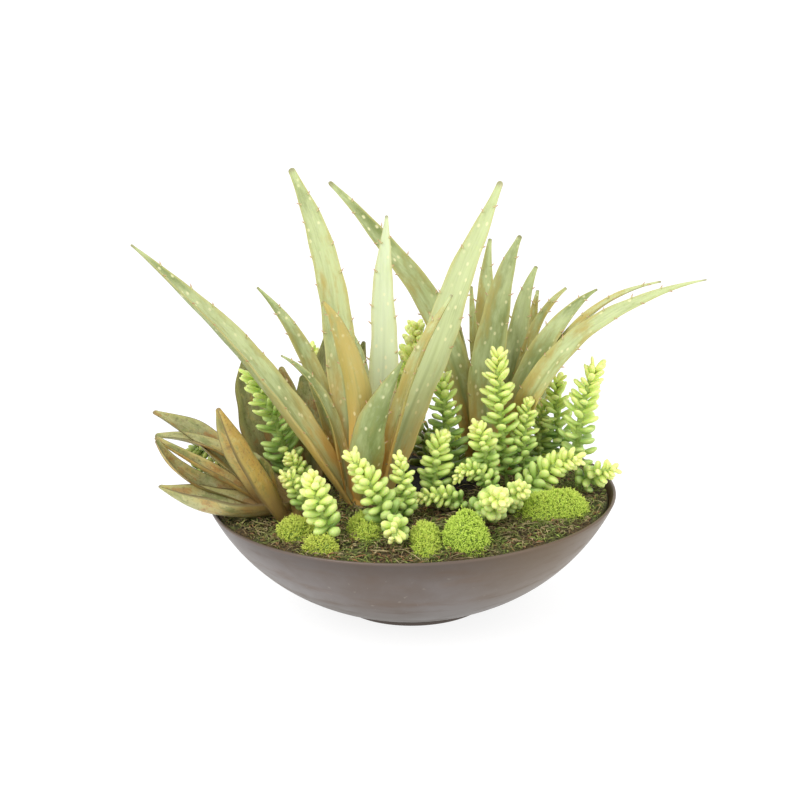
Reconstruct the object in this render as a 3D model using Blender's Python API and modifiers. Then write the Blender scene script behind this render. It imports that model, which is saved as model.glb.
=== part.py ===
# Succulent dish garden: a wide shallow bowl on a low foot, filled with soil under a bed of bog moss,
# planted with two aloes, two agaves and sprigs of bead-leaved stonecrop between cushions of reindeer moss.
# Lengths are millimetres times MM, so that everything in the scene is in metres. +Z is up, the front is -Y,
# and the origin is the middle of the foot, on the surface that the bowl stands on.

import math
import random

import bmesh
import bpy
import numpy as np
from mathutils import Matrix, Vector

MM = 0.001
GAP = 0.4 * MM
SEED = 11

# Bowl: one turned shell whose outer side is a single arc from the foot to the rim
RIM_RADIUS = 203 * MM
RIM_HEIGHT = 113 * MM
FOOT_RADIUS = 77 * MM
FOOT_HEIGHT = 6 * MM
FOOT_BEVEL = 1.5 * MM
WALL_BULGE = 17.5 * MM
WALL_THICKNESS = 3 * MM
FLOOR_TOP = 9 * MM
RIM_CREST = 0.6
ARC_STEPS = 6
TURN_STEPS = 32

# Soil and the moss bed on it
SOIL_TOP = 100 * MM
BED_EDGE_HEIGHT = 109.5 * MM
BED_CROWN = 3.5 * MM
BED_LUMP = 2.4 * MM
BED_SHOULDER = 3 * MM
LUMP_WAVES = (9.1 * MM, 8.3 * MM, 15.7 * MM, 12.9 * MM)
BED_RINGS = 5
BED_TURN_STEPS = 28

# Blades of the aloes and agaves
BLADE_RINGS_LEAST = 3
BLADE_RING_PITCH = 75 * MM
BLADE_EVEN_TO = 0.80
BLADE_LAST_RING = 0.93
STUMP_TOP = 127 * MM
STUMP_DEPTH = 8 * MM
STUMP_SIDES = 12
STUMP_TAPER = 0.8
HOLE_TOP = 134 * MM
BLADE_BALLS = 21
BLADE_BALL_RADIUS = 1.6 * MM
THORN_LENGTH = 4.5 * MM
THORN_ROOT = 2.5 * MM
THORN_RADIUS = 1.5 * MM
THORN_SPACING = 80 * MM
THORNS_FROM = 0.22
THORNS_TO = 0.88
THORN_LEAN = 0.45

# Stonecrop sprigs: a stem that swells into a core among the leaves, and plump leaves that stand out of it
STEM_RADIUS = 1.9 * MM
CORE_RADIUS = 5.8 * MM
CORE_TIP_RADIUS = 3.6 * MM
STEM_DEPTH = 12 * MM
STEM_COLLAR = 117 * MM
STEM_POINTS = 5
LEAF_WIDTH = 11.5 * MM
LEAF_THICKNESS = 7.6 * MM
LEAF_PITCH = 7.9 * MM
LEAF_SPREAD = 84
LEAF_CLOSING = 50
LEAF_SHRINK = 0.34
LEAF_NARROWING = 0.20
LEAF_TURNS_IN = (0, 12, 24, 36)
GOLDEN_TURN = math.radians(137.508)
LEAF_FATTEST = 0.62
LEAF_LAST = 0.96
LEAF_CLEARANCE = 0.5 * MM
RIM_KEEP_OUT = 12 * MM

# Colours, in linear light
BRONZE = (0.105, 0.085, 0.078)
SOIL_BROWN = (0.030, 0.020, 0.013)
BOG_MOSS = (0.110, 0.085, 0.025)
LIME_MOSS = (0.300, 0.400, 0.030)
ALOE_GREEN = (0.300, 0.350, 0.165)
AGAVE_OLIVE = (0.215, 0.170, 0.060)
BEAD_GREEN = (0.360, 0.520, 0.060)

# Rosettes: crown (x, y), stump radius, then for each leaf the middle and the tip of its midrib,
# its greatest width, the way its channel faces, and its fullness, high where it stays wide to near the tip
ALOE_LEFT = ((-48, -26), 19, (
    ((-146, -75, 267), (-247, -110, 390), 36, (0.35, -0.35, 0.85), 1.9),
    ((-97, -10, 246), (-146, 0, 326), 22, (0.30, -0.70, 0.60), 1.8),
    ((-83, -36, 216), (-123, -40, 267), 17, (0.40, -0.40, 0.80), 1.8),
    ((-70, -18, 305), (-107, -20, 443), 29, (0.10, -1.00, 0.20), 2.8),
    ((-54, -64, 252), (-80, -70, 325), 25, (0.10, 1.00, 0.30), 2.2),
    ((-25, -25, 281), (-18, -25, 397), 28, (0.00, -1.00, 0.15), 2.0),
    ((-37, -78, 201), (-6, -66, 266), 34, (-0.10, 1.00, 0.20), 1.7),
    ((-1, -48, 239), (42, -50, 324), 19, (-0.85, -0.50, 0.30), 2.2),
    ((26, -15, 267), (91, -15, 425), 34, (-0.25, -0.95, 0.20), 2.7),
    ((-48, 20, 213), (-59, 70, 265), 22, (0.00, -0.90, 0.40), 2.0),
    ((-30, 15, 221), (-24, 60, 297), 24, (0.00, -0.90, 0.40), 2.0),
    ((-42, 30, 168), (-40, 84, 198), 20, (0.00, -0.50, 0.90), 2.0),
))
ALOE_RIGHT = ((80, 54), 19, (
    ((29, 28, 278), (-73, 10, 425), 30, (0.30, -0.90, 0.30), 2.4),
    ((77, 75, 255), (86, 85, 353), 23, (0.00, -1.00, 0.10), 2.2),
    ((68, 60, 227), (65, 62, 309), 12, (-0.20, -0.90, 0.00), 2.0),
    ((60, 42, 221), (49, 40, 285), 13, (-0.85, -0.50, 0.00), 2.0),
    ((81, 30, 255), (112, 25, 366), 33, (-0.10, -1.00, 0.10), 2.4),
    ((106, 50, 244), (130, 50, 330), 25, (-0.10, -1.00, 0.10), 2.2),
    ((121, 64, 238), (133, 72, 301), 14, (0.00, -1.00, 0.00), 2.0),
    ((122, 42, 248), (159, 40, 309), 14, (-0.60, -0.80, 0.20), 2.0),
    ((130, 20, 246), (186, 10, 313), 27, (-0.30, -0.75, 0.50), 1.8),
    ((153, 5, 264), (245, -10, 323), 16, (-0.45, -0.30, 0.85), 1.8),
    ((159, -14, 264), (283, -40, 330), 26, (-0.35, -0.75, 0.55), 1.4),
    ((92, 95, 210), (104, 140, 286), 24, (0.00, -0.90, 0.40), 2.0),
    ((72, 100, 195), (82, 140, 253), 22, (0.00, -0.90, 0.40), 2.0),
    ((127, 95, 157), (150, 120, 187), 20, (-0.40, -0.40, 0.80), 2.0),
))
AGAVE_LEFT = ((-118, -62), 15, (
    ((-152, -96, 180), (-176, -118, 239), 34, (-0.80, -0.45, -0.40), 2.6),
    ((-188, -76, 128), (-242, -80, 152), 34, (0.00, -0.05, 1.00), 2.4),
    ((-189, -66, 157), (-244, -70, 197), 9.5, (0.10, -0.20, 0.95), 2.6),
    ((-206, -62, 146), (-242, -78, 197), 12, (0.35, -0.45, 0.85), 2.6),
    ((-178, -50, 173), (-246, -56, 194), 15, (0.00, -0.30, 0.95), 2.6),
    ((-188, -43, 172), (-249, -40, 214), 26, (0.00, -0.50, 0.85), 2.4),
    ((-138, -60, 150), (-146, -72, 174), 16, (-0.40, 0.20, 0.80), 2.4),
    ((-158, -28, 150), (-186, -4, 160), 24, (0.00, -0.30, 0.95), 2.4),
))
AGAVE_BACK = ((-113, 28), 15, (
    ((-148, 15, 196), (-158, 10, 262), 46, (0.10, -1.00, 0.10), 3.0),
    ((-124, 35, 186), (-129, 40, 236), 26, (0.00, -1.00, 0.20), 2.6),
    ((-102, 24, 183), (-107, 27, 230), 30, (0.00, -1.00, 0.20), 2.8),
    ((-89, 45, 198), (-83, 55, 264), 28, (0.00, -1.00, 0.20), 2.4),
    ((-66, 55, 195), (-45, 65, 254), 26, (-0.20, -1.00, 0.20), 2.2),
    ((-116, 80, 148), (-119, 120, 178), 30, (0.00, -0.50, 0.90), 2.4),
    ((-145, 70, 139), (-164, 100, 152), 26, (0.20, -0.30, 0.95), 2.4),
))

# Sprigs: root (x, y), then the middle and the tip of the stem, leaf length, and where the leaves begin
SPRIGS = (
    ((-119, -28), (-130, -32, 195), (-153, -36, 247), 19, 0.12),
    ((-98, -44), (-109, -48, 152), (-118, -50, 168), 13, 0.10),
    ((-99, -80), (-110, -81, 147), (-121, -85, 160), 13, 0.12),
    ((-76, -132), (-87, -136, 150), (-92, -132, 173), 18, 0.06),
    ((-20, -112), (-38, -112, 154), (-56, -108, 185), 18, 0.06),
    ((-9, -90), (-9, -91, 146), (-12, -88, 176), 15, 0.06),
    ((-16, -140), (-17, -152, 131), (-19, -171, 127), 13, 0.20),
    ((23, -45), (23, -45, 158), (30, -42, 182), 17, 0.08),
    ((40, 4), (35, 4, 181), (33, 6, 226), 20, 0.08),
    ((54, -62), (31, -70, 131), (6, -80, 133), 13, 0.10),
    ((86, -56), (62, -54, 150), (43, -62, 146), 12, 0.10),
    ((64, -88), (74, -112, 137), (79, -142, 152), 18, 0.15),
    ((95, -10), (88, -12, 199), (86, -15, 254), 19, 0.08),
    ((112, -2), (112, -2, 168), (117, -3, 202), 15, 0.15),
    ((76, -28), (70, -44, 169), (64, -46, 192), 15, 0.20),
    ((131, 34), (131, 38, 157), (134, 38, 182), 15, 0.15),
    ((160, 44), (150, 42, 172), (150, 40, 213), 18, 0.18),
    ((166, 6), (170, 0, 191), (183, -5, 237), 18, 0.12),
    ((104, -40), (134, -34, 144), (160, -46, 158), 17, 0.08),
    ((168, -6), (182, -24, 134), (196, -36, 143), 15, 0.10),
    ((-6, 36), (0, 48, 206), (7, 52, 270), 19, 0.18),
    ((-94, 66), (-95, 77, 185), (-100, 84, 240), 17, 0.15),
    ((-60, 105), (-62, 112, 150), (-68, 120, 185), 15, 0.10),
    ((-14, 112), (-12, 118, 140), (-6, 126, 163), 15, 0.10),
    ((112, 122), (116, 130, 150), (122, 136, 176), 15, 0.10),
    ((-152, 34), (-190, 24, 134), (-222, 14, 134), 18, 0.10),
    ((-143, 50), (-190, 46, 146), (-222, 42, 148), 18, 0.10),
    ((88, -66), (97, -82, 134), (104, -98, 146), 14, 0.10),
    ((16, 64), (15, 66, 136), (19, 66, 158), 17, 0.10),
    ((44, 44), (46, 42, 132), (50, 40, 150), 15, 0.10),
)

# Reindeer moss cushions: centre (x, y), the two radii of the plan, its turn in degrees, height of the top
CUSHIONS = (
    ((-110, -113), (18, 22), 29, 129),
    ((-86, -150), (15, 19), 35, 123),
    ((-46, -110), (15, 34), 5, 128),
    ((10, -143), (14, 38), 0, 128),
    ((47, -144), (21.5, 35), 0, 141),
    ((134, -67), (44, 29), 26, 132),
    ((-135, 98), (20, 32), -36, 128),
    ((-30, 152), (34, 22), 0, 131),
    ((62, 143), (30, 20), -20, 128),
    ((146, 82), (18, 30), 29, 126),
)
CUSHION_RELIEF = 0.16
CUSHION_FOOT = -0.1
CUSHION_FOOT_SHARE = 0.8
CUSHION_HOLE_SIDES = 8
STEM_HOLE_SIDES = 5


def clear_scene():
    """Removes whatever the file held before."""
    for obj in list(bpy.data.objects):
        bpy.data.objects.remove(obj, do_unlink=True)


def new_collection(name):
    """A new collection under the scene's own."""
    made = bpy.data.collections.new(name)
    bpy.context.scene.collection.children.link(made)
    return made


def material(name, colour, roughness, metallic=0.0):
    """A plain Principled material."""
    made = bpy.data.materials.new(name)
    made.use_nodes = True
    shader = made.node_tree.nodes["Principled BSDF"]
    shader.inputs["Base Color"].default_value = (*colour, 1.0)
    shader.inputs["Roughness"].default_value = roughness
    shader.inputs["Metallic"].default_value = metallic
    return made


def add_object(name, mesh, collection, surface=None):
    """An object that holds the mesh, in the collection, with its material."""
    obj = bpy.data.objects.new(name, mesh)
    collection.objects.link(obj)
    if surface:
        mesh.materials.append(surface)
    return obj


def mesh_from_bmesh(bm, name):
    """Turns a finished bmesh into a mesh."""
    mesh = bpy.data.meshes.new(name)
    bm.to_mesh(mesh)
    bm.free()
    return mesh


def evaluated_mesh(obj, merge=True):
    """The object's mesh with its modifiers applied, and its caps and seams merged."""
    bpy.context.view_layer.update()
    graph = bpy.context.evaluated_depsgraph_get()
    mesh = bpy.data.meshes.new_from_object(obj.evaluated_get(graph))
    if not merge:
        return mesh
    bm = bmesh.new()
    bm.from_mesh(mesh)
    bmesh.ops.remove_doubles(bm, verts=bm.verts, dist=0.001 * MM)
    bm.to_mesh(mesh)
    bm.free()
    return mesh


def smooth(obj, angle=40):
    """Shades the piece smooth, with sharp edges kept."""
    obj.data.shade_smooth()
    obj.data.set_sharp_from_angle(angle=math.radians(angle))


def turned_mesh(name, profile, steps):
    """Spins a profile of (radius, height) points once round Z with a Screw modifier."""
    guide = bpy.data.meshes.new(name)
    edges = [(i, i + 1) for i in range(len(profile) - 1)]
    guide.from_pydata([(r, 0, z) for r, z in profile], edges, [])
    obj = add_object(name, guide, bpy.context.scene.collection)
    screw = obj.modifiers.new("Turn", "SCREW")
    screw.steps = steps
    screw.render_steps = steps
    screw.use_merge_vertices = True
    screw.merge_threshold = 0.0001
    mesh = evaluated_mesh(obj)
    bpy.data.objects.remove(obj, do_unlink=True)
    return mesh


def wall_arc():
    """Centre, radius and end angles of the bowl's outer arc, from its chord, foot to rim, and its bulge."""
    run = RIM_RADIUS - FOOT_RADIUS
    rise = RIM_HEIGHT - FOOT_HEIGHT
    chord = math.hypot(run, rise)
    radius = (chord * chord / 4 + WALL_BULGE**2) / (2 * WALL_BULGE)
    half = math.asin(chord / 2 / radius)
    start = math.atan2(rise, run) - half
    centre = (FOOT_RADIUS - radius * math.sin(start), FOOT_HEIGHT + radius * math.cos(start))
    return centre, radius, start, start + 2 * half


ARC_CENTRE, ARC_RADIUS, ARC_START, ARC_END = wall_arc()


def arc_point(radius, angle):
    """A point of a circle round the arc's centre, the angle measured from straight down."""
    return (
        ARC_CENTRE[0] + radius * math.sin(angle),
        ARC_CENTRE[1] - radius * math.cos(angle),
    )


def inner_profile(inset=0.0):
    """The inner wall's corners from the floor up, or those of a surface inset from it."""
    inside = ARC_RADIUS - WALL_THICKNESS - inset
    lowest = math.acos((ARC_CENTRE[1] - FLOOR_TOP) / (ARC_RADIUS - WALL_THICKNESS))
    return [arc_point(inside, angle) for angle in np.linspace(lowest, ARC_END, ARC_STEPS)]


def inner_radius(height, inset=0.0):
    """How far the inner wall, or a surface inset from it, is from the axis at a height."""
    corners = np.array(inner_profile(inset))
    return float(np.interp(height, corners[:, 1], corners[:, 0]))


def make_bowl(collection, surface):
    """Turned shell: flat floor, inner wall, rounded rim, outer wall and a low flat foot."""
    profile = [(0, FLOOR_TOP), *inner_profile()]
    middle = ARC_RADIUS - WALL_THICKNESS / 2
    crest = arc_point(middle, ARC_END + RIM_CREST * WALL_THICKNESS / middle)
    profile.append(crest)
    for angle in np.linspace(ARC_END, ARC_START, ARC_STEPS + 1):
        profile.append(arc_point(ARC_RADIUS, angle))
    profile.append((FOOT_RADIUS, FOOT_BEVEL))
    profile.append((FOOT_RADIUS - FOOT_BEVEL, 0))
    profile.append((0, 0))
    bowl = add_object("bowl", turned_mesh("bowl", profile, TURN_STEPS), collection, surface)
    smooth(bowl)
    return bowl


def bed_height(x, y):
    """Top of the moss bed: a low crown over the middle, with lumps from two crossed waves."""
    reach = np.hypot(x, y) / RIM_RADIUS
    short_x, short_y, long_up, long_down = LUMP_WAVES
    short = np.sin(x / short_x + 1.3) * np.sin(y / short_y + 0.4)
    broad = np.sin((x + y) / long_up) * np.sin((x - y) / long_down + 2.0)
    return BED_EDGE_HEIGHT + BED_CROWN * (1 - reach**2) + BED_LUMP * (0.6 * short + 0.4 * broad)


def make_soil(collection, surface):
    """Turned fill with a flat top, which follows the inner wall a gap away."""
    profile = [(0, SOIL_TOP), (inner_radius(SOIL_TOP, GAP), SOIL_TOP)]
    profile += [corner for corner in reversed(inner_profile(GAP)) if corner[1] < SOIL_TOP]
    profile.append((0, profile[-1][1]))
    return add_object("soil", turned_mesh("soil", profile, TURN_STEPS), collection, surface)


def make_moss_bed(collection, surface):
    """Turned disc on the soil, its top then raised into lumps by bed_height."""
    edge = inner_radius(BED_EDGE_HEIGHT - BED_SHOULDER, 2 * GAP)
    foot = inner_radius(SOIL_TOP + GAP, 2 * GAP)
    rings = [edge * i / BED_RINGS for i in range(BED_RINGS + 1)]
    profile = [(r, BED_EDGE_HEIGHT) for r in rings]
    profile += [(foot, SOIL_TOP + GAP), (0, SOIL_TOP + GAP)]
    mesh = turned_mesh("moss_bed", profile, BED_TURN_STEPS)
    for vertex in mesh.vertices:
        if vertex.co.z > BED_EDGE_HEIGHT - MM:
            vertex.co.z = bed_height(vertex.co.x, vertex.co.y)
    return add_object("moss_bed", mesh, collection, surface)


def add_hole(collection, name, spot, radii, bottom, sides, turn=0.0):
    """A plain upright cutter through the moss bed, and into the soil where its bottom is lower. It is round,
    or oval where its two radii differ."""
    bm = bmesh.new()
    place = Matrix.Translation((*spot, (HOLE_TOP + bottom) / 2)) @ Matrix.Rotation(turn, 4, "Z")
    bmesh.ops.create_cone(
        bm, cap_ends=True, segments=sides, radius1=1, radius2=1,
        depth=HOLE_TOP - bottom, matrix=place @ Matrix.Diagonal((*radii, 1, 1)),
    )
    cutter = add_object(name, mesh_from_bmesh(bm, name), collection)
    cutter.hide_render = True
    cutter.display_type = "WIRE"


def cut_holes(obj, holes):
    """Cuts every hole from the piece with one Boolean."""
    cut = obj.modifiers.new("Holes", "BOOLEAN")
    cut.operation = "DIFFERENCE"
    cut.operand_type = "COLLECTION"
    cut.collection = holes
    cut.solver = "EXACT"


def largest_shell(mesh):
    """Keeps the outer skin of a fused piece: sealed hollows and loose scraps are dropped."""
    bm = bmesh.new()
    bm.from_mesh(mesh)
    bmesh.ops.triangulate(bm, faces=bm.faces)
    unseen = set(bm.verts)
    shells = []
    while unseen:
        shell = set()
        front = [unseen.pop()]
        while front:
            vertex = front.pop()
            shell.add(vertex)
            for edge in vertex.link_edges:
                other = edge.other_vert(vertex)
                if other in unseen:
                    unseen.remove(other)
                    front.append(other)
        faces = {face for vertex in shell for face in vertex.link_faces}
        volume = sum(f.verts[0].co.dot(f.verts[1].co.cross(f.verts[2].co)) for f in faces)
        shells.append((volume, shell))
    keep = max(shells, key=lambda pair: pair[0])[1]
    bmesh.ops.delete(bm, geom=[v for v in bm.verts if v not in keep], context="VERTS")
    bm.to_mesh(mesh)
    bm.free()
    return len(shells)


def fuse(name, meshes, collection, surface, solver="EXACT"):
    """Joins closed meshes that run into each other: the first takes the rest by one union on a collection."""
    parts = new_collection(name + "_parts")
    for number, mesh in enumerate(meshes[1:]):
        add_object(f"{name}_part_{number}", mesh, parts)
    base = add_object(name + "_base", meshes[0], bpy.context.scene.collection)
    join = base.modifiers.new("Join", "BOOLEAN")
    join.operation = "UNION"
    join.operand_type = "COLLECTION"
    join.collection = parts
    join.solver = solver
    mesh = evaluated_mesh(base, merge=False)
    mesh.name = name
    mesh.materials.clear()
    for obj in list(parts.objects):
        bpy.data.objects.remove(obj, do_unlink=True)
    bpy.data.objects.remove(base, do_unlink=True)
    bpy.data.collections.remove(parts)
    largest_shell(mesh)
    obj = add_object(name, mesh, collection, surface)
    smooth(obj)
    return obj


def bend(root, middle, tip, t):
    """Points and directions of the parabola through root, middle and tip, at shares t of its way."""
    root, middle, tip = (np.array(p, float) for p in (root, middle, tip))
    knee = 2 * middle - (root + tip) / 2
    t = np.asarray(t, float)[:, None]
    points = (1 - t) ** 2 * root + 2 * t * (1 - t) * knee + t**2 * tip
    ways = 2 * (1 - t) * (knee - root) + 2 * t * (tip - knee)
    return points, ways / np.linalg.norm(ways, axis=1)[:, None]


def width_share(t, widest, foot, fullness):
    """A blade's width over its greatest width: it swells from its foot to the widest place, then tapers."""
    swell = foot + (1 - foot) * np.sin(np.pi / 2 * np.clip(t / widest, 0, 1))
    taper = 1 - np.clip((t - widest) / (1 - widest), 0, 1) ** fullness
    return swell * taper


def blade_length(root, leaf):
    """Length of a blade's midrib, taken as two straight runs."""
    middle = np.array(leaf[0]) * MM
    tip = np.array(leaf[1]) * MM
    return np.linalg.norm(middle - root) + np.linalg.norm(tip - middle)


def blade_frame(root, leaf, t):
    """Midrib points with the directions along, across and out of the channel side of a blade."""
    middle, tip, _, face, _ = leaf
    points, along = bend(root, np.array(middle) * MM, np.array(tip) * MM, t)
    out = np.array(face, float) - (along @ np.array(face, float))[:, None] * along
    out = out / np.linalg.norm(out, axis=1)[:, None]
    return points, along, np.cross(along, out), out


def blade_surface(root, leaf, kind, t, across, depth):
    """Points of a blade at shares t along it. across runs -1 to 1 from margin to margin, and depth is 0 on
    the channelled side and 1 on the keeled side, which bulges by the square root of 1 - across squared."""
    points, _, side, out = blade_frame(root, leaf, t)
    half = leaf[2] * MM / 2 * width_share(t, kind["widest"], kind["foot"], leaf[4])
    lift = kind["channel"] * half * across**2
    bulge = kind["thickness"] * 2 * half * np.sqrt(1 - across**2)
    return points + side * (half * across)[:, None] + out * (lift - depth * bulge)[:, None]


ALOE = {
    "widest": 0.28, "foot": 0.62, "channel": 0.45, "thickness": 0.24,
    "start": 118 * MM, "spread": 16 * MM, "thorns": True,
}
AGAVE = {
    "widest": 0.42, "foot": 0.82, "channel": 0.50, "thickness": 0.28,
    "start": 121 * MM, "spread": 12 * MM, "thorns": False,
}
FOLDED_AGAVE = {**AGAVE, "channel": 0.85, "thickness": 0.22}
SECTION = ((-1.0, 0), (0.0, 0), (1.0, 0), (0.45, 1), (-0.45, 1))


def blade_mesh(name, root, leaf, kind):
    """Lofts a blade: rings of five points from the foot to near the tip, then the tip itself."""
    count = BLADE_RINGS_LEAST + int(blade_length(root, leaf) / BLADE_RING_PITCH)
    t = np.append(np.linspace(0, BLADE_EVEN_TO, count - 1), BLADE_LAST_RING)
    columns = [blade_surface(root, leaf, kind, t, np.full(len(t), a), d) for a, d in SECTION]
    rings = np.stack(columns, axis=1)
    bm = bmesh.new()
    corners = [[bm.verts.new(p) for p in ring] for ring in rings]
    tip = bm.verts.new(np.array(leaf[1]) * MM)
    sides = len(SECTION)
    for low, high in zip(corners, corners[1:]):
        for i in range(sides):
            j = (i + 1) % sides
            if i < sides // 2:
                bm.faces.new((low[i], high[i], high[j]))
                bm.faces.new((low[i], high[j], low[j]))
            else:
                bm.faces.new((low[i], high[i], low[j]))
                bm.faces.new((low[j], high[i], high[j]))
    for i in range(sides):
        bm.faces.new((corners[-1][i], tip, corners[-1][(i + 1) % sides]))
    bm.faces.new(corners[0])
    bmesh.ops.recalc_face_normals(bm, faces=bm.faces)
    return mesh_from_bmesh(bm, name)


def thorn_meshes(name, root, leaf, kind):
    """Three-sided thorns along both margins in turn, each sunk into the blade and leaning to its tip."""
    count = max(2, int(blade_length(root, leaf) / THORN_SPACING))
    shares = THORNS_FROM + (THORNS_TO - THORNS_FROM) * (np.arange(count) + 0.5) / count
    _, along, side, _ = blade_frame(root, leaf, shares)
    made = []
    for number, t in enumerate(shares):
        hand = 1.0 if number % 2 else -1.0
        margin = blade_surface(root, leaf, kind, np.array([t]), np.array([hand]), 0)[0]
        way = Vector(hand * side[number] + THORN_LEAN * along[number]).normalized()
        centre = Vector(margin) + way * (THORN_LENGTH - THORN_ROOT) / 2
        turn = way.to_track_quat("Z", "Y").to_matrix().to_4x4()
        bm = bmesh.new()
        bmesh.ops.create_cone(
            bm, cap_ends=True, segments=3, radius1=THORN_RADIUS, radius2=0,
            depth=THORN_LENGTH + THORN_ROOT, matrix=Matrix.Translation(centre) @ turn,
        )
        bmesh.ops.remove_doubles(bm, verts=bm.verts, dist=0.001 * MM)
        made.append(mesh_from_bmesh(bm, f"{name}_thorn_{number}"))
    return made


def leaf_root(crown, leaf, kind):
    """Where a leaf leaves the stump: a little way from the crown's middle, towards the leaf."""
    centre = Vector((crown[0] * MM, crown[1] * MM, 0))
    toward = Vector((leaf[0][0] * MM, leaf[0][1] * MM, 0)) - centre
    foot = centre + toward.normalized() * min(kind["spread"], toward.length)
    return np.array((foot.x, foot.y, kind["start"]))


def stump_mesh(name, crown, radius):
    """The short thick stem under a rosette, from the soil to the crown."""
    bottom = SOIL_TOP - STUMP_DEPTH + GAP
    middle = (STUMP_TOP + bottom) / 2
    bm = bmesh.new()
    bmesh.ops.create_cone(
        bm, cap_ends=True, segments=STUMP_SIDES, radius1=radius, radius2=radius * STUMP_TAPER,
        depth=STUMP_TOP - bottom, matrix=Matrix.Translation((crown[0] * MM, crown[1] * MM, middle)),
    )
    return mesh_from_bmesh(bm, name)


def make_rosette(name, plan, kind, collection, surface, holes, taken, solver="EXACT"):
    """A whole aloe or agave: stump, blades and any thorns fused, standing in a plain hole."""
    crown, stump_radius, leaves = plan
    radius = stump_radius * MM
    meshes = [stump_mesh(name + "_stump", crown, radius)]
    for number, leaf in enumerate(leaves):
        root = leaf_root(crown, leaf, kind)
        title = f"{name}_leaf_{number}"
        meshes.append(blade_mesh(title, root, leaf, kind))
        if kind["thorns"]:
            meshes += thorn_meshes(title, root, leaf, kind)
        t = np.linspace(0, 1, BLADE_BALLS)
        for across in np.linspace(-1, 1, 7):
            for depth in (0, 0.7):
                points = blade_surface(root, leaf, kind, t, np.full(len(t), across), depth)
                taken.add(points, BLADE_BALL_RADIUS, name)
    wide = radius / math.cos(math.pi / STUMP_SIDES) + GAP
    spot = (crown[0] * MM, crown[1] * MM)
    add_hole(holes, name + "_hole", spot, (wide, wide), SOIL_TOP - STUMP_DEPTH, STUMP_SIDES)
    return fuse(name, meshes, collection, surface, solver)


class Taken:
    """Balls that stand for the space already grown into, each with the plant that it belongs to."""

    def __init__(self):
        self.points = np.empty((0, 3))
        self.radii = np.empty(0)
        self.owners = np.empty(0, dtype=object)

    def add(self, points, radius, owner):
        points = np.atleast_2d(points)
        self.points = np.concatenate([self.points, points])
        self.radii = np.concatenate([self.radii, np.full(len(points), radius)])
        self.owners = np.concatenate([self.owners, np.full(len(points), owner, dtype=object)])

    def room(self, points, radius, owner):
        """The least clear distance from these balls to those of other plants."""
        others = self.owners != owner
        if not others.any():
            return 1.0
        apart = np.linalg.norm(self.points[others][:, None] - points[None], axis=2)
        return float((apart - self.radii[others][:, None]).min()) - radius


def bead_mesh(name, foot, way, length, width, thickness):
    """One plump leaf: a four-sided ball, its inner pole on the stem's axis, stretched along its way and
    fattest towards its tip."""
    turn = Vector(way).to_track_quat("Z", "Y").to_matrix().to_4x4()
    size = Matrix.Diagonal((width / 2, thickness / 2, length, 1))
    bm = bmesh.new()
    bmesh.ops.create_uvsphere(bm, u_segments=4, v_segments=2, radius=1)
    for vertex in bm.verts:
        vertex.co.z = (vertex.co.z + 1) / 2 if abs(vertex.co.z) > 0.5 else LEAF_FATTEST
    bmesh.ops.transform(bm, matrix=Matrix.Translation(foot) @ turn @ size, verts=bm.verts)
    return mesh_from_bmesh(bm, name)


def stem_mesh(name, points, radii):
    """A stem: a curve through its points, with a round section of the radius at each, and filled ends."""
    curve = bpy.data.curves.new(name, "CURVE")
    curve.dimensions = "3D"
    curve.bevel_depth = STEM_RADIUS
    curve.bevel_resolution = 0
    curve.use_fill_caps = True
    spline = curve.splines.new("POLY")
    spline.points.add(len(points) - 1)
    for spot, point, radius in zip(spline.points, points, radii):
        spot.co = (*point, 1)
        spot.radius = radius / STEM_RADIUS
    obj = bpy.data.objects.new(name, curve)
    bpy.context.scene.collection.objects.link(obj)
    mesh = evaluated_mesh(obj)
    bpy.data.objects.remove(obj, do_unlink=True)
    return mesh


def cushion_room(points, radius, cushions):
    """A clear distance from these balls to the cushions, never more than the true one: a cushion is taken as
    a round ball stretched by its three sizes."""
    apart = [
        (np.linalg.norm((points - centre) @ spin.T / size, axis=1).min() - 1) * size.min()
        for centre, size, spin in cushions
    ]
    return min(apart) - radius


def ground_height(x, y):
    """Top of the bed, or of the rim where that is nearer."""
    return np.where(np.hypot(x, y) > RIM_RADIUS - RIM_KEEP_OUT, RIM_HEIGHT, bed_height(x, y))


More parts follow.
